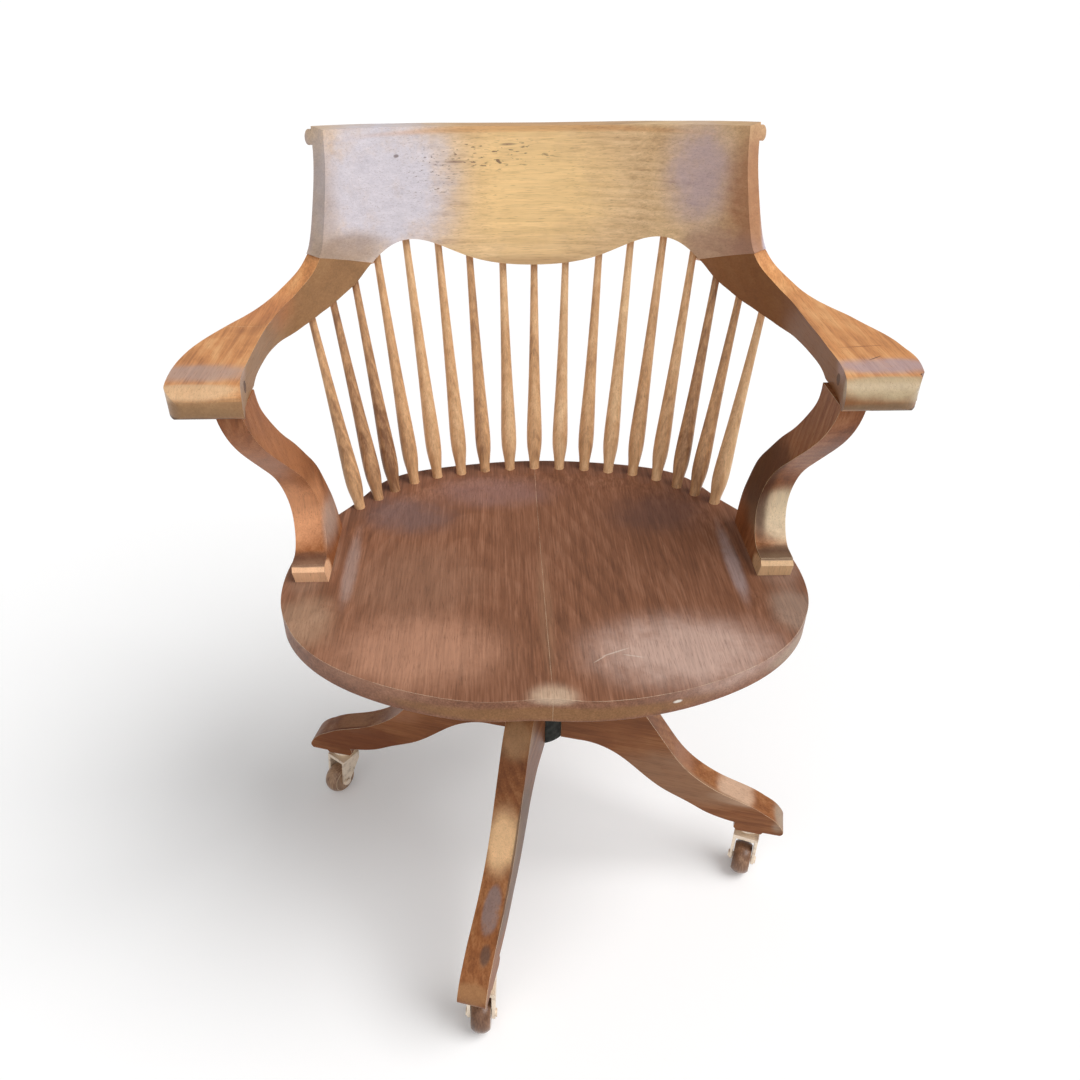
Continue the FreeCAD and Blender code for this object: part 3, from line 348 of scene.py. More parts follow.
@dataclass(frozen=True)
class Varnish:
    """Old varnished hardwood with growth rings, pores, mottling, worn edges, patches (some of them
    painted sheen, highlight and shade) and painted shade on upright sides.
    """

    name: str
    grain: Grain
    dark: Colour
    middle: Colour
    light: Colour
    pith: tuple[float, float] = (0.0, -0.25)
    tilt: float = 0.05
    ring_spacing: float = 0.009
    ring_share: float = 0.14
    streak_share: float = 0.45
    fibre_share: float = 0.30
    mottle_share: float = 0.9
    mottle_scale: float = 11.0
    edge: Colour = (0.74, 0.56, 0.36)
    edge_share: float = 0.9
    # Painted shade: the colour that upright faces are darkened toward, and how far.
    side: Colour | None = None
    painted_side_shade_share: float = 0.8
    turn: float = 0.0
    roughness: float = 0.44
    coat: float = 0.04
    toned: bool = False
    patches: tuple[Patch, ...] = ()

    def material(self) -> bpy.types.Material:
        """Build the finish.

        Returns:
            The material.
        """
        board = Board(self.name)
        place = board.place()
        if self.turn:
            place = board.add("ShaderNodeMapping", {"vector_type": "POINT"}, {
                "Vector": place, "Rotation": (0.0, 0.0, -math.radians(self.turn))})
        axes = board.split(place)
        parts = tuple(axes[index] for index in self.grain.value)
        rings = self._rings(board, parts)
        streaks = board.noise(board.drawn_out(parts, STREAKS), 1.0, 4.0, 0.6)
        fibre = board.noise(board.drawn_out(parts, FIBRES), 1.0, 2.0)
        pores = board.noise(board.drawn_out(parts, PORES), 1.0, 1.0)
        mottle = board.noise(board.drawn_out(parts, MOTTLES), self.mottle_scale, 5.0, 0.6, 0.5)
        value = (0.5 + (rings - 0.5) * self.ring_share + (streaks - 0.5) * self.streak_share
                 + (fibre - 0.5) * self.fibre_share + (mottle - 0.5) * self.mottle_share)
        if self.toned:
            value = value + board.add("ShaderNodeAttribute", {"attribute_name": "tone"},
                                      output="Fac")
        colour = board.ramp(value, ((0.15, self.dark), (0.50, self.middle), (0.85, self.light)))
        cloud = board.noise(place, 38.0, 5.0, 0.68)
        # Painted shade: upright faces are darkened toward the side colour.
        if self.side:
            upright = board.add("ShaderNodeAttribute", {"attribute_name": "upright"}, output="Fac")
            colour = board.mix(upright * self.painted_side_shade_share, colour, self.side)
        # Patches lay on marks in the wood and, on some parts, painted sheen, highlight and shade.
        for patch in self.patches:
            share = self._patch_share(board, place, parts, cloud, patch)
            colour = board.mix(share, colour, patch.colour)
        tint = 1.0 + (fibre - 0.5) * self.fibre_share + (streaks - 0.5) * 0.3
        colour = board.mix(1.0, colour, board.join(tint, tint, tint), "MULTIPLY")
        pitted = board.step(pores, *PORE_LEVELS)
        shade = tuple(0.5 * part for part in self.dark)
        colour = board.mix(pitted * PORE_SHARE, colour, shade)
        worn = board.add("ShaderNodeAttribute", {"attribute_name": "worn"}, output="Fac")
        rubbed = WORN_LEAST + (1.0 - WORN_LEAST) * board.step(cloud, *WORN_LEVELS)
        worn = worn * rubbed * self.edge_share
        colour = board.mix(worn, colour, self.edge)
        roughness = self.roughness + (mottle - 0.5) * 0.25 + pitted * 0.12 + worn * 0.1
        normal = board.bump(streaks * 0.6 + fibre * 0.3 - pitted * 0.5, 0.2, 0.0004)
        return board.surface(Base_Color=colour, Roughness=roughness, Normal=normal,
                             Coat_Weight=self.coat, Coat_Roughness=0.35, Specular_IOR_Level=0.2)

    def _rings(self, board: Board, parts: Sequence[Wire]) -> Wire:
        """The growth rings round the tree's pith.

        Args:
            board: The material's board.
            parts: Distances along, across and through the board.

        Returns:
            A value from 0 in late wood to 1 in early wood.
        """
        along, across, deep = parts
        stir = board.noise(board.drawn_out(parts, RING_STIR), 1.0, 3.0)
        side = across - self.pith[0]
        down = deep - self.pith[1]
        radius = (side * side + down * down) ** 0.5 + along * self.tilt + (stir - 0.5) * 0.03
        phase = (radius / self.ring_spacing).fraction()
        strength = board.noise(board.drawn_out(parts, RING_GAPS), 1.0, 2.0)
        rings = board.step(phase, 0.0, 0.7) * board.step(phase, 1.0, 0.85)
        return 0.5 + (rings - 0.5) * board.step(strength, 0.35, 0.6)

    @staticmethod
    def _patch_share(board: Board, place: Wire, parts: Sequence[Wire], cloud: Wire,
                     patch: Patch) -> Wire:
        """How much of a patch's colour shows.

        Args:
            board: The material's board.
            place: Where to read it.
            parts: Distances along, across and through the board.
            cloud: The noise that makes borders ragged.
            patch: The patch.

        Returns:
            The share, from 0 to the patch's strength.
        """
        share = board.blob(place, patch)
        if patch.speckle:
            spots = board.noise(board.drawn_out(parts, SPECKLES), 1.0, 2.0)
            level = 0.74 - 0.2 * patch.speckle
            return share * board.step(spots, level, level + 0.05) * patch.strength
        ragged = 1.0 + (cloud - 0.5) * (4.0 * patch.ragged)
        return board.step(share * ragged, 0.0, 1.0) * patch.strength


@dataclass(frozen=True)
class Metal:
    """Cast or turned metal with tarnish and small scars."""

    name: str
    clean: Colour
    tarnish: Colour
    metallic: float
    roughness: float
    scale: float = 90.0
    cover: float = 0.5

    def material(self) -> bpy.types.Material:
        """Build the finish.

        Returns:
            The material.
        """
        board = Board(self.name)
        place = board.place()
        cloud = board.noise(place, self.scale, 6.0, 0.62)
        grit = board.noise(place, self.scale * 12.0, 3.0)
        dull = board.step(cloud, self.cover - 0.12, self.cover + 0.12)
        colour = board.mix(dull, self.clean, self.tarnish)
        colour = board.mix(board.step(grit, 0.58, 0.70) * 0.4, colour,
                           tuple(0.5 * part for part in self.tarnish))
        normal = board.bump(grit + cloud * 0.5, 0.3, 0.0003)
        return board.surface(Base_Color=colour, Metallic=self.metallic * (1.0 - dull * 0.45),
                             Roughness=self.roughness + dull * 0.22, Normal=normal)


CREST = Varnish(
    "crest_varnish", Grain.ALONG_X, dark=(0.42, 0.22, 0.11), middle=(0.70, 0.47, 0.25),
    light=(0.86, 0.62, 0.36), pith=(0.30, 0.27), tilt=0.02, ring_spacing=0.010,
    ring_share=0.16, mottle_share=0.5, edge=(0.90, 0.72, 0.50), roughness=0.38, coat=0.10,
    patches=(
        # Golden middle: partly the wood's own tone, partly a painted highlight.
        Patch((0.0, 0.27, 0.775), (0.15, 0.2, 0.13), (0.92, 0.63, 0.29), 0.8, 0.9),
        # Painted reflection: lavender-grey sheen over the left third.
        Patch((-0.170, 0.22, 0.79), (0.13, 0.2, 0.13), (0.66, 0.64, 0.72), 0.9, 0.8),
        # Painted reflection: grey sheen towards the left end.
        Patch((-0.240, 0.19, 0.76), (0.035, 0.2, 0.15), (0.46, 0.37, 0.33), 0.6, 0.8),
        # Painted reflection: purple sheen on the right part.
        Patch((0.180, 0.2, 0.80), (0.060, 0.2, 0.09), (0.50, 0.38, 0.41), 0.8, 0.9),
        Patch((0.240, 0.2, 0.77), (0.050, 0.2, 0.14), (0.40, 0.175, 0.085), 0.85, 0.8),
        Patch((0.21, 0.2, 0.725), (0.07, 0.2, 0.035), (0.40, 0.23, 0.17), 0.7, 0.8),
        Patch((-0.21, 0.2, 0.728), (0.06, 0.2, 0.028), (0.38, 0.27, 0.20), 0.75, 0.8),
        Patch((0.0, 0.27, 0.697), (0.16, 0.2, 0.015), (0.46, 0.27, 0.13), 0.6, 0.9),
        Patch((0.0, 0.27, 0.838), (0.26, 0.2, 0.006), (0.62, 0.31, 0.12), 0.6, 0.8),
        Patch((0.0, 0.33, 0.866), (0.40, 0.10, 0.034), (0.34, 0.25, 0.23), 0.85, 0.5),
        # Painted reflection: grey sheen on the left end.
        Patch((-0.255, 0.2, 0.79), (0.014, 0.2, 0.09), (0.47, 0.37, 0.36), 0.8, 0.6),
        # Painted reflection: bluish sheen on the right end.
        Patch((0.268, 0.2, 0.78), (0.024, 0.2, 0.12), (0.62, 0.63, 0.76), 0.9, 0.4),
        Patch((-0.055, 0.27, 0.812), (0.11, 0.1, 0.022), (0.12, 0.065, 0.05), 0.8, 0.6,
              speckle=0.62),
        Patch((-0.12, 0.27, 0.79), (0.05, 0.1, 0.03), (0.16, 0.10, 0.08), 0.7, 0.7,
              speckle=0.55),
        Patch((-0.09, 0.27, 0.806), (0.020, 0.1, 0.0022), (0.20, 0.12, 0.09), 0.6, 0.8),
        Patch((-0.03, 0.27, 0.822), (0.014, 0.1, 0.0020), (0.20, 0.12, 0.09), 0.6, 0.8),
        Patch((-0.155, 0.27, 0.816), (0.004, 0.1, 0.0025), (0.14, 0.09, 0.08), 0.7, 0.6),
    ))
ARM_LEFT = Varnish(
    "arm_varnish_left", Grain.ALONG_Y, dark=(0.34, 0.13, 0.05), middle=(0.64, 0.28, 0.105),
    light=(0.84, 0.48, 0.22), pith=(0.02, 0.55), tilt=0.05, ring_spacing=0.012,
    ring_share=0.16, streak_share=0.25, mottle_share=1.1, edge=(0.95, 0.74, 0.48),
    # Painted shade on the arm's upright sides.
    mottle_scale=19.0, side=(0.25, 0.15, 0.075), roughness=0.38, coat=0.10,
    patches=(
        # Painted reflection: greyish sheen on the top behind the nose.
        Patch((-0.31, -0.074, 0.70), (0.08, 0.030, 0.02), (0.45, 0.31, 0.26), 0.8, 0.8),
        # Painted highlight along the upper roll of the nose.
        Patch((-0.315, -0.107, 0.697), (0.07, 0.014, 0.012), (0.68, 0.44, 0.25), 0.9, 0.6),
        # Painted shade on the lower roll of the nose.
        Patch((-0.315, -0.118, 0.682), (0.07, 0.010, 0.010), (0.30, 0.17, 0.08), 0.85, 0.7),
        # Painted shade under the nose.
        Patch((-0.30, -0.108, 0.671), (0.08, 0.03, 0.008), (0.07, 0.03, 0.013), 0.9, 0.5),
        Patch((-0.29, 0.10, 0.70), (0.05, 0.08, 0.04), (0.56, 0.20, 0.075), 0.45, 0.8),
    ))
ARM_RIGHT = Varnish(
    "arm_varnish_right", Grain.ALONG_Y, dark=(0.34, 0.13, 0.05), middle=(0.66, 0.29, 0.105),
    light=(0.86, 0.48, 0.21), pith=(-0.02, 0.55), tilt=0.05, ring_spacing=0.012,
    ring_share=0.16, streak_share=0.25, mottle_share=1.0, edge=(0.90, 0.62, 0.36),
    # Painted shade on the arm's upright sides.
    mottle_scale=17.0, side=(0.21, 0.082, 0.028), painted_side_shade_share=0.9, roughness=0.38, coat=0.10,
    patches=(
        # Painted reflection: lavender sheen on the top behind the nose.
        Patch((0.30, -0.076, 0.70), (0.08, 0.026, 0.02), (0.46, 0.33, 0.34), 0.85, 0.8),
        # Painted highlight along the upper roll of the nose.
        Patch((0.297, -0.108, 0.692), (0.08, 0.016, 0.018), (0.50, 0.39, 0.24), 0.92, 0.6),
        # Painted shade on the lower roll of the nose.
        Patch((0.297, -0.118, 0.678), (0.08, 0.010, 0.008), (0.22, 0.14, 0.075), 0.8, 0.7),
        # Painted shade under the nose.
        Patch((0.30, -0.108, 0.671), (0.08, 0.03, 0.007), (0.07, 0.04, 0.022), 0.9, 0.5),
        Patch((0.294, -0.030, 0.70), (0.030, 0.0010, 0.01), (0.30, 0.11, 0.045), 0.8, 0.6,
              angle=6.0),
        Patch((0.297, -0.058, 0.70), (0.012, 0.0009, 0.01), (0.10, 0.05, 0.035), 0.9, 0.6,
              angle=34.0),
        # Painted glint on the outer end of the nose.
        Patch((0.318, -0.108, 0.69), (0.002, 0.004, 0.002), (0.85, 0.80, 0.72), 0.9, 0.6),
    ))
SUPPORT = Varnish(
    "support_varnish", Grain.ALONG_Z, dark=(0.11, 0.032, 0.009), middle=(0.28, 0.095, 0.032),
    light=(0.44, 0.20, 0.09), pith=(0.30, 0.3), tilt=0.05, ring_spacing=0.011,
    ring_share=0.16, edge=(0.80, 0.58, 0.36), roughness=0.40,
    patches=(
        Patch((-0.28, -0.04, 0.58), (0.07, 0.13, 0.13), (0.47, 0.195, 0.085), 0.65, 0.8),
        # Painted shade where the right support's front face turns downward under the arm.
        Patch((0.285, -0.02, 0.63), (0.06, 0.13, 0.08), (0.15, 0.040, 0.010), 0.7, 0.8),
        # Painted highlight on the upturned curve above the right foot.
        Patch((0.262, 0.0, 0.50), (0.05, 0.07, 0.045), (0.84, 0.68, 0.46), 0.85, 0.8),
        # Painted highlight on the upturned curve above the left foot.
        Patch((-0.262, 0.0, 0.51), (0.05, 0.07, 0.055), (0.80, 0.38, 0.19), 0.8, 0.8),
        Patch((0.245, -0.055, 0.464), (0.06, 0.03, 0.015), (0.76, 0.50, 0.28), 0.9, 0.4),
        Patch((-0.245, -0.055, 0.464), (0.06, 0.03, 0.015), (0.90, 0.54, 0.32), 0.9, 0.4),
        Patch((0.25, -0.05, 0.4755), (0.07, 0.03, 0.0030), (0.10, 0.06, 0.04), 0.8, 0.6),
        Patch((-0.25, -0.05, 0.4755), (0.07, 0.03, 0.0030), (0.12, 0.06, 0.04), 0.8, 0.6),
        # Painted light and sheen on the left support's inner face, which faces the key lamp.
        Patch((-0.23, 0.02, 0.50), (0.012, 0.08, 0.05), (0.56, 0.46, 0.40), 0.6, 0.8),
        # Painted shade on the right support's inner face, which faces away from the key lamp.
        Patch((0.237, 0.01, 0.57), (0.014, 0.13, 0.14), (0.075, 0.022, 0.009), 0.85, 0.6),
    ))
SEAT = Varnish(
    "seat_varnish", Grain.ALONG_Y, dark=(0.12, 0.050, 0.028), middle=(0.225, 0.094, 0.050),
    light=(0.36, 0.18, 0.11), pith=(-0.07, 0.30), tilt=0.22, ring_spacing=0.012,
    ring_share=0.10, streak_share=0.42, fibre_share=0.46, mottle_share=0.5, mottle_scale=8.0,
    edge=(0.72, 0.54, 0.38), roughness=0.46,
    patches=(
        Patch((-0.14, -0.05, 0.45), (0.12, 0.12, 0.03), (0.28, 0.145, 0.09), 0.6, 0.9),
        Patch((-0.13, -0.165, 0.45), (0.14, 0.09, 0.03), (0.50, 0.26, 0.165), 0.75, 0.9),
        Patch((0.13, -0.170, 0.45), (0.15, 0.09, 0.03), (0.60, 0.42, 0.35), 0.8, 0.9),
        Patch((-0.05, 0.13, 0.455), (0.12, 0.05, 0.03), (0.27, 0.15, 0.13), 0.7, 0.9),
        Patch((-0.15, 0.08, 0.455), (0.09, 0.06, 0.03), (0.165, 0.105, 0.10), 0.7, 0.9),
        Patch((0.14, 0.08, 0.455), (0.10, 0.07, 0.03), (0.122, 0.060, 0.046), 0.75, 0.9),
        Patch((0.0, -0.235, 0.455), (0.034, 0.028, 0.012), (0.70, 0.52, 0.37), 0.7, 0.9),
        Patch((0.0, -0.10, 0.45), (0.012, 0.16, 0.03), (0.30, 0.155, 0.09), 0.6, 0.8),
        Patch((-0.25, -0.02, 0.457), (0.04, 0.09, 0.01), (0.31, 0.20, 0.14), 0.7, 0.8),
        Patch((0.25, -0.02, 0.457), (0.04, 0.09, 0.01), (0.32, 0.21, 0.16), 0.7, 0.8),
        Patch((0.25, -0.12, 0.457), (0.04, 0.06, 0.012), (0.36, 0.26, 0.20), 0.6, 0.8),
        Patch((-0.24, -0.13, 0.457), (0.06, 0.07, 0.012), (0.40, 0.25, 0.16), 0.7, 0.8),
        # Painted highlight: lavender-grey sheen along the right lip of the dish.
        Patch((0.207, -0.03, 0.455), (0.012, 0.11, 0.01), (0.42, 0.34, 0.34), 0.6, 0.8),
        # Painted highlight: grey sheen along the left lip of the dish.
        Patch((-0.207, -0.03, 0.455), (0.012, 0.11, 0.01), (0.36, 0.27, 0.24), 0.55, 0.8),
        Patch((0.0, -0.24, 0.437), (0.25, 0.06, 0.012), (0.28, 0.135, 0.045), 0.65, 0.7),
        Patch((0.24, -0.15, 0.437), (0.06, 0.08, 0.016), (0.44, 0.32, 0.23), 0.6, 0.8),
        Patch((0.064, -0.170, 0.45), (0.020, 0.0012, 0.02), (0.62, 0.50, 0.42), 0.85, 0.6,
              angle=24.0),
        Patch((0.080, -0.176, 0.45), (0.014, 0.0010, 0.02), (0.62, 0.50, 0.42), 0.8, 0.6,
              angle=-14.0),
        Patch((0.048, -0.180, 0.45), (0.012, 0.0009, 0.02), (0.58, 0.46, 0.38), 0.8, 0.6,
              angle=40.0),
        # Painted glint on the seat's front edge.
        Patch((0.115, -0.228, 0.44), (0.006, 0.010, 0.0025), (0.85, 0.80, 0.72), 0.9, 0.6),
    ))
SPINDLE = Varnish(
    "spindle_varnish", Grain.ALONG_Z, dark=(0.27, 0.13, 0.065), middle=(0.68, 0.395, 0.20),
    light=(0.88, 0.60, 0.34), pith=(0.0, 0.5), tilt=0.01, ring_spacing=0.006, ring_share=0.10,
    streak_share=0.5, mottle_share=0.6, mottle_scale=18.0, roughness=0.36, coat=0.12, toned=True)
PLUG = Varnish(
    "plug_wood", Grain.ALONG_Y, dark=(0.06, 0.025, 0.012), middle=(0.13, 0.055, 0.025),
    light=(0.24, 0.11, 0.05), ring_spacing=0.002)
CASTOR_WHEEL = Varnish(
    "castor_wheel_wood", Grain.ALONG_Z, dark=(0.08, 0.035, 0.02), middle=(0.22, 0.11, 0.06),
    light=(0.55, 0.36, 0.22), ring_spacing=0.003, streak_share=0.6, edge=(0.75, 0.58, 0.40),
    roughness=0.26, coat=0.5)
BRASS = Metal("dull_brass", (0.92, 0.78, 0.62), (0.50, 0.38, 0.27), 0.4, 0.34, cover=0.60)
IRON = Metal("blackened_iron", (0.014, 0.016, 0.010), (0.008, 0.009, 0.006), 0.2, 0.6)
STEEL = Metal("old_steel", (0.40, 0.38, 0.35), (0.16, 0.13, 0.10), 0.9, 0.34, cover=0.55)

LEG_TURNS = (-15.0, 75.0, 165.0, 255.0)
LEG_PATCHES = {
    0: (Patch((0.19, 0.0, 0.172), (0.05, 0.05, 0.025), (0.34, 0.16, 0.09), 0.6, 0.8),
        Patch((0.262, 0.0, 0.128), (0.055, 0.05, 0.016), (0.62, 0.41, 0.28), 0.9, 0.6),
        # Painted light on the leg's front side.
        Patch((0.20, -0.016, 0.15), (0.13, 0.006, 0.06), (0.31, 0.165, 0.09), 0.7, 0.6),
        Patch((0.315, 0.0, 0.092), (0.016, 0.03, 0.022), (0.36, 0.27, 0.19), 0.75, 0.8)),
    1: (),
    2: (Patch((0.19, 0.0, 0.172), (0.06, 0.05, 0.025), (0.36, 0.15, 0.07), 0.8, 0.8),
        Patch((0.262, 0.0, 0.128), (0.06, 0.05, 0.016), (0.42, 0.20, 0.10), 0.8, 0.8),
        Patch((0.25, 0.016, 0.11), (0.10, 0.006, 0.05), (0.16, 0.042, 0.010), 0.8, 0.6)),
    3: (Patch((0.11, 0.0, 0.27), (0.06, 0.03, 0.03), (0.46, 0.26, 0.125), 0.85, 0.8),
        Patch((0.185, 0.0, 0.18), (0.055, 0.03, 0.055), (0.86, 0.55, 0.29), 0.9, 0.8),
        Patch((0.245, 0.002, 0.136), (0.038, 0.013, 0.025), (0.25, 0.17, 0.15), 0.9, 0.5,
              ragged=0.8),
        Patch((0.285, 0.006, 0.118), (0.015, 0.008, 0.02), (0.10, 0.06, 0.045), 0.8, 0.6),
        Patch((0.318, 0.0, 0.10), (0.012, 0.03, 0.03), (0.38, 0.19, 0.08), 0.7, 0.6),
        Patch((0.20, 0.017, 0.17), (0.14, 0.005, 0.10), (0.14, 0.085, 0.055), 0.8, 0.5)),
}


def leg_finish(number: int) -> Varnish:
    """The finish of one leg, with its grain along the leg."""
    return Varnish(
        f"leg_varnish_{number + 1}", Grain.ALONG_X, dark=(0.12, 0.032, 0.008),
        middle=(0.27, 0.095, 0.030), light=(0.46, 0.22, 0.09), pith=(0.45, 0.35), tilt=0.10,
        # Painted shade on the leg's upright sides.
        ring_spacing=0.011, ring_share=0.16, edge=(0.84, 0.63, 0.42), painted_side_shade_share=0.35,
        side=(0.17, 0.05, 0.012), turn=LEG_TURNS[number], roughness=0.42,
        patches=LEG_PATCHES[number])


# Modelling

MERGE_WITHIN = 0.001 * MM
FLAT_WITHIN = 0.4
SMOOTH_UNDER = 40.0
TOP_SLOPE = 0.8
SIDE_SLOPE = 0.5
CORNER_REACH = 0.5 * MM


@dataclass(frozen=True)
class Softening:
    """How far the edges of a sawn or cast part are eased."""

    width: float
    segments: int = 3
    sharper_than: float = 35.0


def node_body(node: str) -> str:
    """The CAD body that a node belongs to."""
    return frame["nodes"][node]["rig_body"]


def dress_corner(mesh: bmesh.types.BMesh, corner: Vector) -> None:
    """Bring a proud corner flush with the face that it meets.

    Args:
        mesh: The mesh, already merged.
        corner: Where the face ends, on the outer side.
    """
    for vertex in mesh.verts:
        if abs(vertex.co.y - corner.y) < CORNER_REACH and vertex.co.x > corner.x:
            vertex.co.x = corner.x


def mark_upright(mesh: bmesh.types.BMesh) -> None:
    """Mark how upright each face is, from 0 on tops and undersides to 1 on sides, where finishes
    paint shade.
    """
    upright = mesh.faces.layers.float.new("upright")
    mesh.normal_update()
    for face in mesh.faces:
        share = (TOP_SLOPE - abs(face.normal.z)) / (TOP_SLOPE - SIDE_SLOPE)
        face[upright] = min(1.0, max(0.0, share))


def ease_edges(mesh: bmesh.types.BMesh, softening: Softening) -> None:
    """Bevel the sharp edges and mark the new faces as worn.

    Args:
        mesh: The mesh, already merged.
        softening: How far, and which edges.
    """
    worn = mesh.faces.layers.float.new("worn")
    limit = math.radians(softening.sharper_than)
    sharp = [edge for edge in mesh.edges
             if edge.is_manifold and edge.calc_face_angle(0.0) > limit]
    made = bmesh.ops.bevel(mesh, geom=sharp, offset=softening.width, offset_type="OFFSET",
                           segments=softening.segments, profile=0.5, affect="EDGES",
                           clamp_overlap=True, material=-1)
    for face in made["faces"]:
        face[worn] = 1.0


def copy_node(node: str, softening: Softening | None, material: bpy.types.Material,
              tone: float | None = None, proud_corner: Vector | None = None) -> bpy.types.Object:
    """Make a finished piece from a CAD node's shape, and let it stand for the node.

    Args:
        node: The CAD node.
        softening: How its edges are eased, or None.
        material: Its finish.
        tone: Its shade among its like, for toned finishes.
        proud_corner: A corner to dress flush before its edges are eased, or None.

    Returns:
        The new piece.
    """
    mesh = bmesh.new()
    mesh.from_mesh(frame["nodes"][node].data)
    bmesh.ops.remove_doubles(mesh, verts=mesh.verts, dist=MERGE_WITHIN)
    bmesh.ops.dissolve_limit(mesh, angle_limit=math.radians(FLAT_WITHIN), verts=mesh.verts,
                             edges=mesh.edges)
    if proud_corner:
        dress_corner(mesh, proud_corner)
    if softening:
        ease_edges(mesh, softening)
    mark_upright(mesh)
    for face in mesh.faces:
        face.smooth = True
    title = f"{node}_piece"
    data = bpy.data.meshes.new(title)
    mesh.to_mesh(data)
    mesh.free()
    data.set_sharp_from_angle(angle=math.radians(SMOOTH_UNDER))
    data.materials.append(material)
    if tone is not None:
        layer = data.attributes.new("tone", "FLOAT", "POINT")
        layer.data.foreach_set("value", [tone] * len(data.vertices))
    piece = bpy.data.objects.new(title, data)
    bpy.context.scene.collection.objects.link(piece)
    weighted = piece.modifiers.new("weighted", "WEIGHTED_NORMAL")
    weighted.keep_sharp = True
    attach(piece, node_body(node))
    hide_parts(node)
    log.info("%s stands for %s", title, node)
    return piece


def dress(node: str, material: bpy.types.Material) -> None:
    """Give a CAD node that stays its finish."""
    data = frame["nodes"][node].data
    data.materials.clear()
    data.materials.append(material)
    log.info("%s keeps its CAD shape", node)


# Sub-assemblies

@dataclass
class Seat:
    """The two dished boards and what joins them."""

    softening: Softening = Softening(2.2 * MM)
    boards: tuple[str, ...] = ("seat_board_left", "seat_board_right")

    def build(self) -> None:
        """Make the boards and dress the dowels."""
        finish = SEAT.material()
        for board in self.boards:
            copy_node(board, self.softening, finish)
        dress("seat_dowels", PLUG.material())


@dataclass
class Back:
    """The crest rail and the spindles."""

    crest_softening: Softening = Softening(1.6 * MM)
    tones: tuple[float, ...] = (-0.06, -0.2, -0.24, -0.02, 0.08, 0.04, -0.10, 0.06, 0.0, 0.12,
                                0.06, 0.16, 0.02, 0.06, -0.16, -0.08, 0.14)

    def build(self) -> None:
        """Make the crest and the spindles."""
        copy_node("crest_rail", self.crest_softening, CREST.material())
        dress("crest_dowels", PLUG.material())
        finish = SPINDLE.material()
        for number, tone in enumerate(self.tones, start=1):
            copy_node(f"spindle_{number:02d}", None, finish, tone=tone)


@dataclass
class Arms:
    """The arms, their supports, plugs and pins."""

    arm_softening: Softening = Softening(3.0 * MM, 4)
    support_softening: Softening = Softening(1.6 * MM)
    nose_corner: Vector = field(default_factory=lambda: Vector((0.3237, -0.095, 0.69)))

    def build(self) -> None:
        """Make both arms and supports."""
        support = SUPPORT.material()
        plug = PLUG.material()
        for side, finish in (("left", ARM_LEFT), ("right", ARM_RIGHT)):
            corner = self.nose_corner if side == "right" else None
            copy_node(f"arm_{side}", self.arm_softening, finish.material(), proud_corner=corner)
            copy_node(f"arm_support_{side}", self.support_softening, support)
        dress("arm_plugs", plug)
        dress("arm_dowels", plug)


@dataclass
class Base:
    """The four legs and the iron hub."""

    leg_softening: Softening = Softening(2.4 * MM)
    iron_softening: Softening = Softening(1.0 * MM, 2)

    def build(self) -> None:
        """Make the legs and the hub."""
        for number in range(4):
            copy_node(f"leg_{number + 1}", self.leg_softening, leg_finish(number).material())
        copy_node("hub_casting", self.iron_softening, IRON.material())


@dataclass
class Gear:
    """Height screw, hand nut, seat bracket and the screws that hold things together."""

    softening: Softening = Softening(0.8 * MM, 2)
    iron_parts: tuple[str, ...] = ("hand_nut", "seat_bracket")
    steel_parts: tuple[str, ...] = ("height_screw", "retaining_screw")
    small_parts: tuple[str, ...] = ("thrust_washer", "swivel_washer", "leg_screws", "seat_screws",
                                    "support_screws", "height_key", "castor_pivots")

    def build(self) -> None:
        """Make the larger parts and dress the small ones."""
        iron = IRON.material()
        steel = STEEL.material()
        for node in self.iron_parts:
            copy_node(node, self.softening, iron)
        for node in self.steel_parts:
            copy_node(node, self.softening, steel)
        for node in self.small_parts:
            dress(node, steel)


@dataclass
class Castors:
    """Four castors with turned wheels."""

    softening: Softening = Softening(0.7 * MM, 2)

    def build(self) -> None:
        """Make horns, wheels and axles."""
        brass = BRASS.material()
        wheel = CASTOR_WHEEL.material()
        for number in range(1, 5):
            copy_node(f"castor_horn_{number}", self.softening, brass)
            copy_node(f"castor_wheel_{number}", self.softening, wheel)
            dress(f"castor_plate_{number}", brass)
            dress(f"castor_axle_{number}", brass)


# Studio

@dataclass(frozen=True)
class Lamp:
    """A large soft lamp, far enough away to light everything alike."""

    name: str
    place: Triple
    softness: float
    strength: float

    def build(self) -> None:
        """Hang the lamp so that it points at the chair."""
        data = bpy.data.lights.new(self.name, "SUN")
        data.angle = math.radians(self.softness)
        data.energy = self.strength
        lamp = bpy.data.objects.new(self.name, data)
        bpy.context.scene.collection.objects.link(lamp)
        lamp.location = self.place
        lamp.rotation_euler = Vector(self.place).to_track_quat("Z", "Y").to_euler()


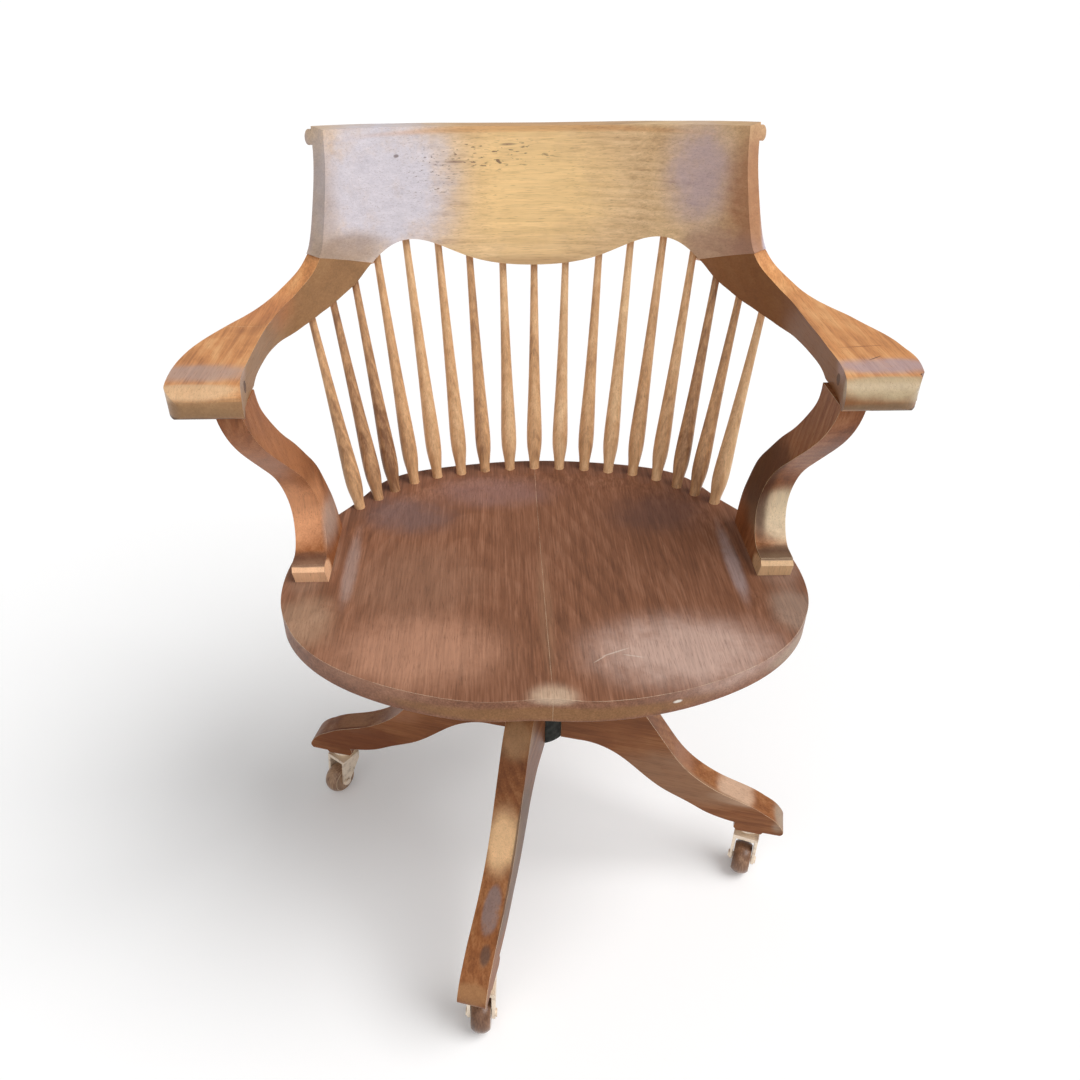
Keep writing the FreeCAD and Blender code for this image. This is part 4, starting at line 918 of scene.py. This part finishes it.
@dataclass
class Studio:
    """Pale floor, soft light and the photograph's camera."""

    lamps: tuple[Lamp, ...] = (
        Lamp("key", (1.5, -0.4, 2.2), 45.0, 2.35),
        Lamp("fill", (-0.4, -2.6, 1.6), 80.0, 0.75),
    )
    world_strength: float = 0.28
    floor_size: float = 40.0
    floor_tones: tuple[float, float] = (0.88, 0.90)
    floor_grain: float = 400.0
    floor_glow: float = 0.13
    camera_place: Triple = (-0.04648, -0.8219, 1.0186)
    yaw: float = 0.0124
    pitch: float = 0.6061
    roll: float = -0.0072
    focal_px: float = 895.65
    centre_px: tuple[float, float] = (508.45, 554.23)
    photo_px: float = 1080.0
    sensor: float = 36.0
    near: float = 0.01
    far: float = 200.0

    def build(self) -> None:
        """Set everything up."""
        for lamp in self.lamps:
            lamp.build()
        self._floor()
        self._world()
        self._camera()
        bpy.context.scene.view_settings.view_transform = "Standard"

    def _floor(self) -> None:
        """A pale floor that keeps the chair's shadow and is white to the camera elsewhere."""
        mesh = bmesh.new()
        bmesh.ops.create_grid(mesh, x_segments=1, y_segments=1, size=self.floor_size)
        data = bpy.data.meshes.new("floor")
        mesh.to_mesh(data)
        mesh.free()
        floor = bpy.data.objects.new("floor", data)
        bpy.context.scene.collection.objects.link(floor)
        board = Board("floor_paper")
        path = board.add("ShaderNodeLightPath", output="Is Camera Ray")
        glossy = board.add("ShaderNodeLightPath", output="Is Glossy Ray")
        grain = board.noise(board.place(), self.floor_grain, 2.0)
        darker, lighter = ((tone, tone, tone) for tone in self.floor_tones)
        plain = board.ramp(grain, ((0.3, darker), (0.7, lighter)))
        paper = board.add("ShaderNodeBsdfDiffuse", None, {"Color": plain})
        glow = board.add("ShaderNodeEmission", None, {
            "Color": (1.0, 1.0, 1.0, 1.0), "Strength": path.larger(glossy) * self.floor_glow})
        both = board.add("ShaderNodeAddShader", None, {0: paper, 1: glow})
        board.tree.links.new(both.socket, board.end.inputs["Surface"])
        data.materials.append(board.material)

    def _world(self) -> None:
        """A plain pale surrounding that the camera and transmission rays see as white."""
        world = bpy.data.worlds.new("studio")
        bpy.context.scene.world = world
        world.use_nodes = True
        tree = world.node_tree
        back = tree.nodes["Background"]
        back.inputs["Color"].default_value = (1.0, 1.0, 1.0, 1.0)
        path = tree.nodes.new("ShaderNodeLightPath")
        seen = tree.nodes.new("ShaderNodeMath")
        seen.operation = "MAXIMUM"
        tree.links.new(path.outputs["Is Camera Ray"], seen.inputs[0])
        tree.links.new(path.outputs["Is Transmission Ray"], seen.inputs[1])
        level = tree.nodes.new("ShaderNodeMapRange")
        level.inputs["To Min"].default_value = self.world_strength
        level.inputs["To Max"].default_value = 1.0
        tree.links.new(seen.outputs[0], level.inputs["Value"])
        tree.links.new(level.outputs[0], back.inputs["Strength"])

    def _camera(self) -> None:
        """The photograph's viewpoint, lens and framing."""
        data = bpy.data.cameras.new("camera")
        data.sensor_width = self.sensor
        data.lens = self.focal_px * self.sensor / self.photo_px
        data.shift_x = (self.photo_px / 2 - self.centre_px[0]) / self.photo_px
        data.shift_y = (self.centre_px[1] - self.photo_px / 2) / self.photo_px
        data.clip_start = self.near
        data.clip_end = self.far
        camera = bpy.data.objects.new("camera", data)
        bpy.context.scene.collection.objects.link(camera)
        turn = (Matrix.Rotation(-self.yaw, 4, "Z")
                @ Matrix.Rotation(math.pi / 2 - self.pitch, 4, "X")
                @ Matrix.Rotation(self.roll, 4, "Z"))
        camera.matrix_world = Matrix.Translation(self.camera_place) @ turn
        bpy.context.scene.camera = camera


def main() -> None:
    """Build the chair and its studio, in order."""
    logging.basicConfig(level=logging.INFO, format="%(name)s: %(message)s")
    for assembly in (Seat(), Back(), Arms(), Base(), Gear(), Castors(), Studio()):
        assembly.build()
        log.info("%s done", type(assembly).__name__)


if __name__ == "__main__":
    main()
